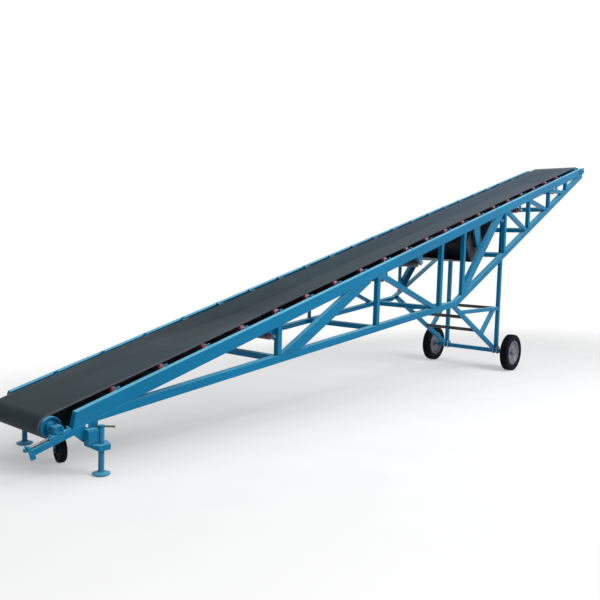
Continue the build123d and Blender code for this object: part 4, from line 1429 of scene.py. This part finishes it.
@dataclass
class Studio:
    """Floor, soft light and the photograph's camera."""

    eye: tuple[float, float, float] = (-6.8097, -4.4280, 1.5400)
    right: tuple[float, float, float] = (0.65123, -0.75832, 0.02915)
    up: tuple[float, float, float] = (0.03883, 0.07166, 0.99667)
    ahead: tuple[float, float, float] = (0.75789, 0.64793, -0.07611)
    lens: float = 42.48
    world_light: float = 0.24
    floor_radius: float = 70.0
    floor_glow: float = 0.38
    aim: tuple[float, float, float] = (0.5, 0.0, 1.0)
    # name, place, size, watts
    lamps: tuple[tuple, ...] = (
        ("overhead", (-1.0, 0.0, 9.0), 12.0, 460.0),
        ("near side", (1.0, -10.0, 8.0), 8.0, 1250.0),
    )

    def build(self) -> None:
        """Builds everything that isn't the machine."""
        self.camera()
        self.world()
        self.floor()
        for lamp in self.lamps:
            self.lamp(*lamp)
        bpy.context.scene.view_settings.view_transform = "Standard"

    def camera(self) -> None:
        """Places the camera as the photograph was taken."""
        data = bpy.data.cameras.new("photo camera")
        data.lens = self.lens
        data.sensor_width = 36.0
        data.sensor_fit = "HORIZONTAL"
        data.clip_end = 200.0
        camera = add_object("photo camera", data)
        columns = Matrix((self.right, self.up, tuple(-a for a in self.ahead))).transposed()
        camera.matrix_world = Matrix.Translation(self.eye) @ columns.to_4x4()
        bpy.context.scene.camera = camera

    def world(self) -> None:
        """Lights softly from all round, and shows white behind the machine."""
        g = Graph("soft studio", Kind.WORLD)
        ray = g.node("ShaderNodeLightPath")
        seen = ray["Is Camera Ray"].or_more(ray["Is Glossy Ray"]).or_more(ray["Is Transmission Ray"])
        light, white = (
            g.node("ShaderNodeBackground", {}, {"Color": colour, "Strength": strength})["Background"]
            for colour, strength in (((0.93, 0.97, 1.0), self.world_light), ((1.0, 1.0, 1.0), 1.0))
        )
        blend = g.node("ShaderNodeMixShader", {}, {0: seen, 1: light, 2: white})["Shader"]
        g.node("ShaderNodeOutputWorld", {}, {"Surface": blend})
        bpy.context.scene.world = g.owner

    def floor(self) -> None:
        """Lays a pale floor that fades to white away from the machine."""
        bm = bmesh.new()
        bmesh.ops.create_circle(bm, cap_ends=True, segments=96, radius=self.floor_radius)
        mesh = bpy.data.meshes.new("studio_floor")
        bm.to_mesh(mesh)
        bm.free()
        g = Graph("pale floor")
        spot = g.parts(g.place((0.16, 0.34, 0.0)))
        away = ((spot["X"] * spot["X"] + spot["Y"] * spot["Y"]) ** 0.5).step(0.75, 1.35)
        pale = g.mix(g.noise(2.0).step(0.3, 0.7), (0.90, 0.90, 0.90), (0.93, 0.93, 0.93))
        matt = g.node("ShaderNodeBsdfDiffuse", {}, {"Color": pale})["BSDF"]
        glow = g.node("ShaderNodeEmission", {}, {"Color": (1.0, 1.0, 1.0), "Strength": 1.0})["Emission"]
        share = (self.floor_glow + away * (1.0 - self.floor_glow)).clamped()
        blend = g.node("ShaderNodeMixShader", {}, {0: share, 1: matt, 2: glow})["Shader"]
        g.node("ShaderNodeOutputMaterial", {}, {"Surface": blend})
        mesh.materials.append(g.owner)
        add_object("studio_floor", mesh)

    def lamp(self, name: str, place: Point, size: float, power: float) -> None:
        """Hangs one large soft lamp that shines on the machine.

        Args:
            name: Its name.
            place: Where it hangs.
            size: Side of its square.
            power: Watts.
        """
        data = bpy.data.lights.new(name, "AREA")
        data.size = size
        data.energy = power
        lamp = add_object(name, data)
        lamp.location = place
        lamp.rotation_euler = (Vector(self.aim) - Vector(place)).to_track_quat("-Z", "Y").to_euler()


def main() -> None:
    """Builds and dresses every sub-assembly, then the studio."""
    logging.basicConfig(level=logging.INFO, format="%(name)s: %(message)s")
    finishes = Finishes()
    Boom(finishes).build()
    Belt(finishes).build()
    Pulleys(finishes).build()
    Idlers(finishes).build()
    for side in Side:
        RoadWheel(finishes, side).build()
        Jack(finishes, side).build()
    Caster(finishes).build()
    Legs(finishes).build()
    Studio().build()


if __name__ == "__main__":
    main()
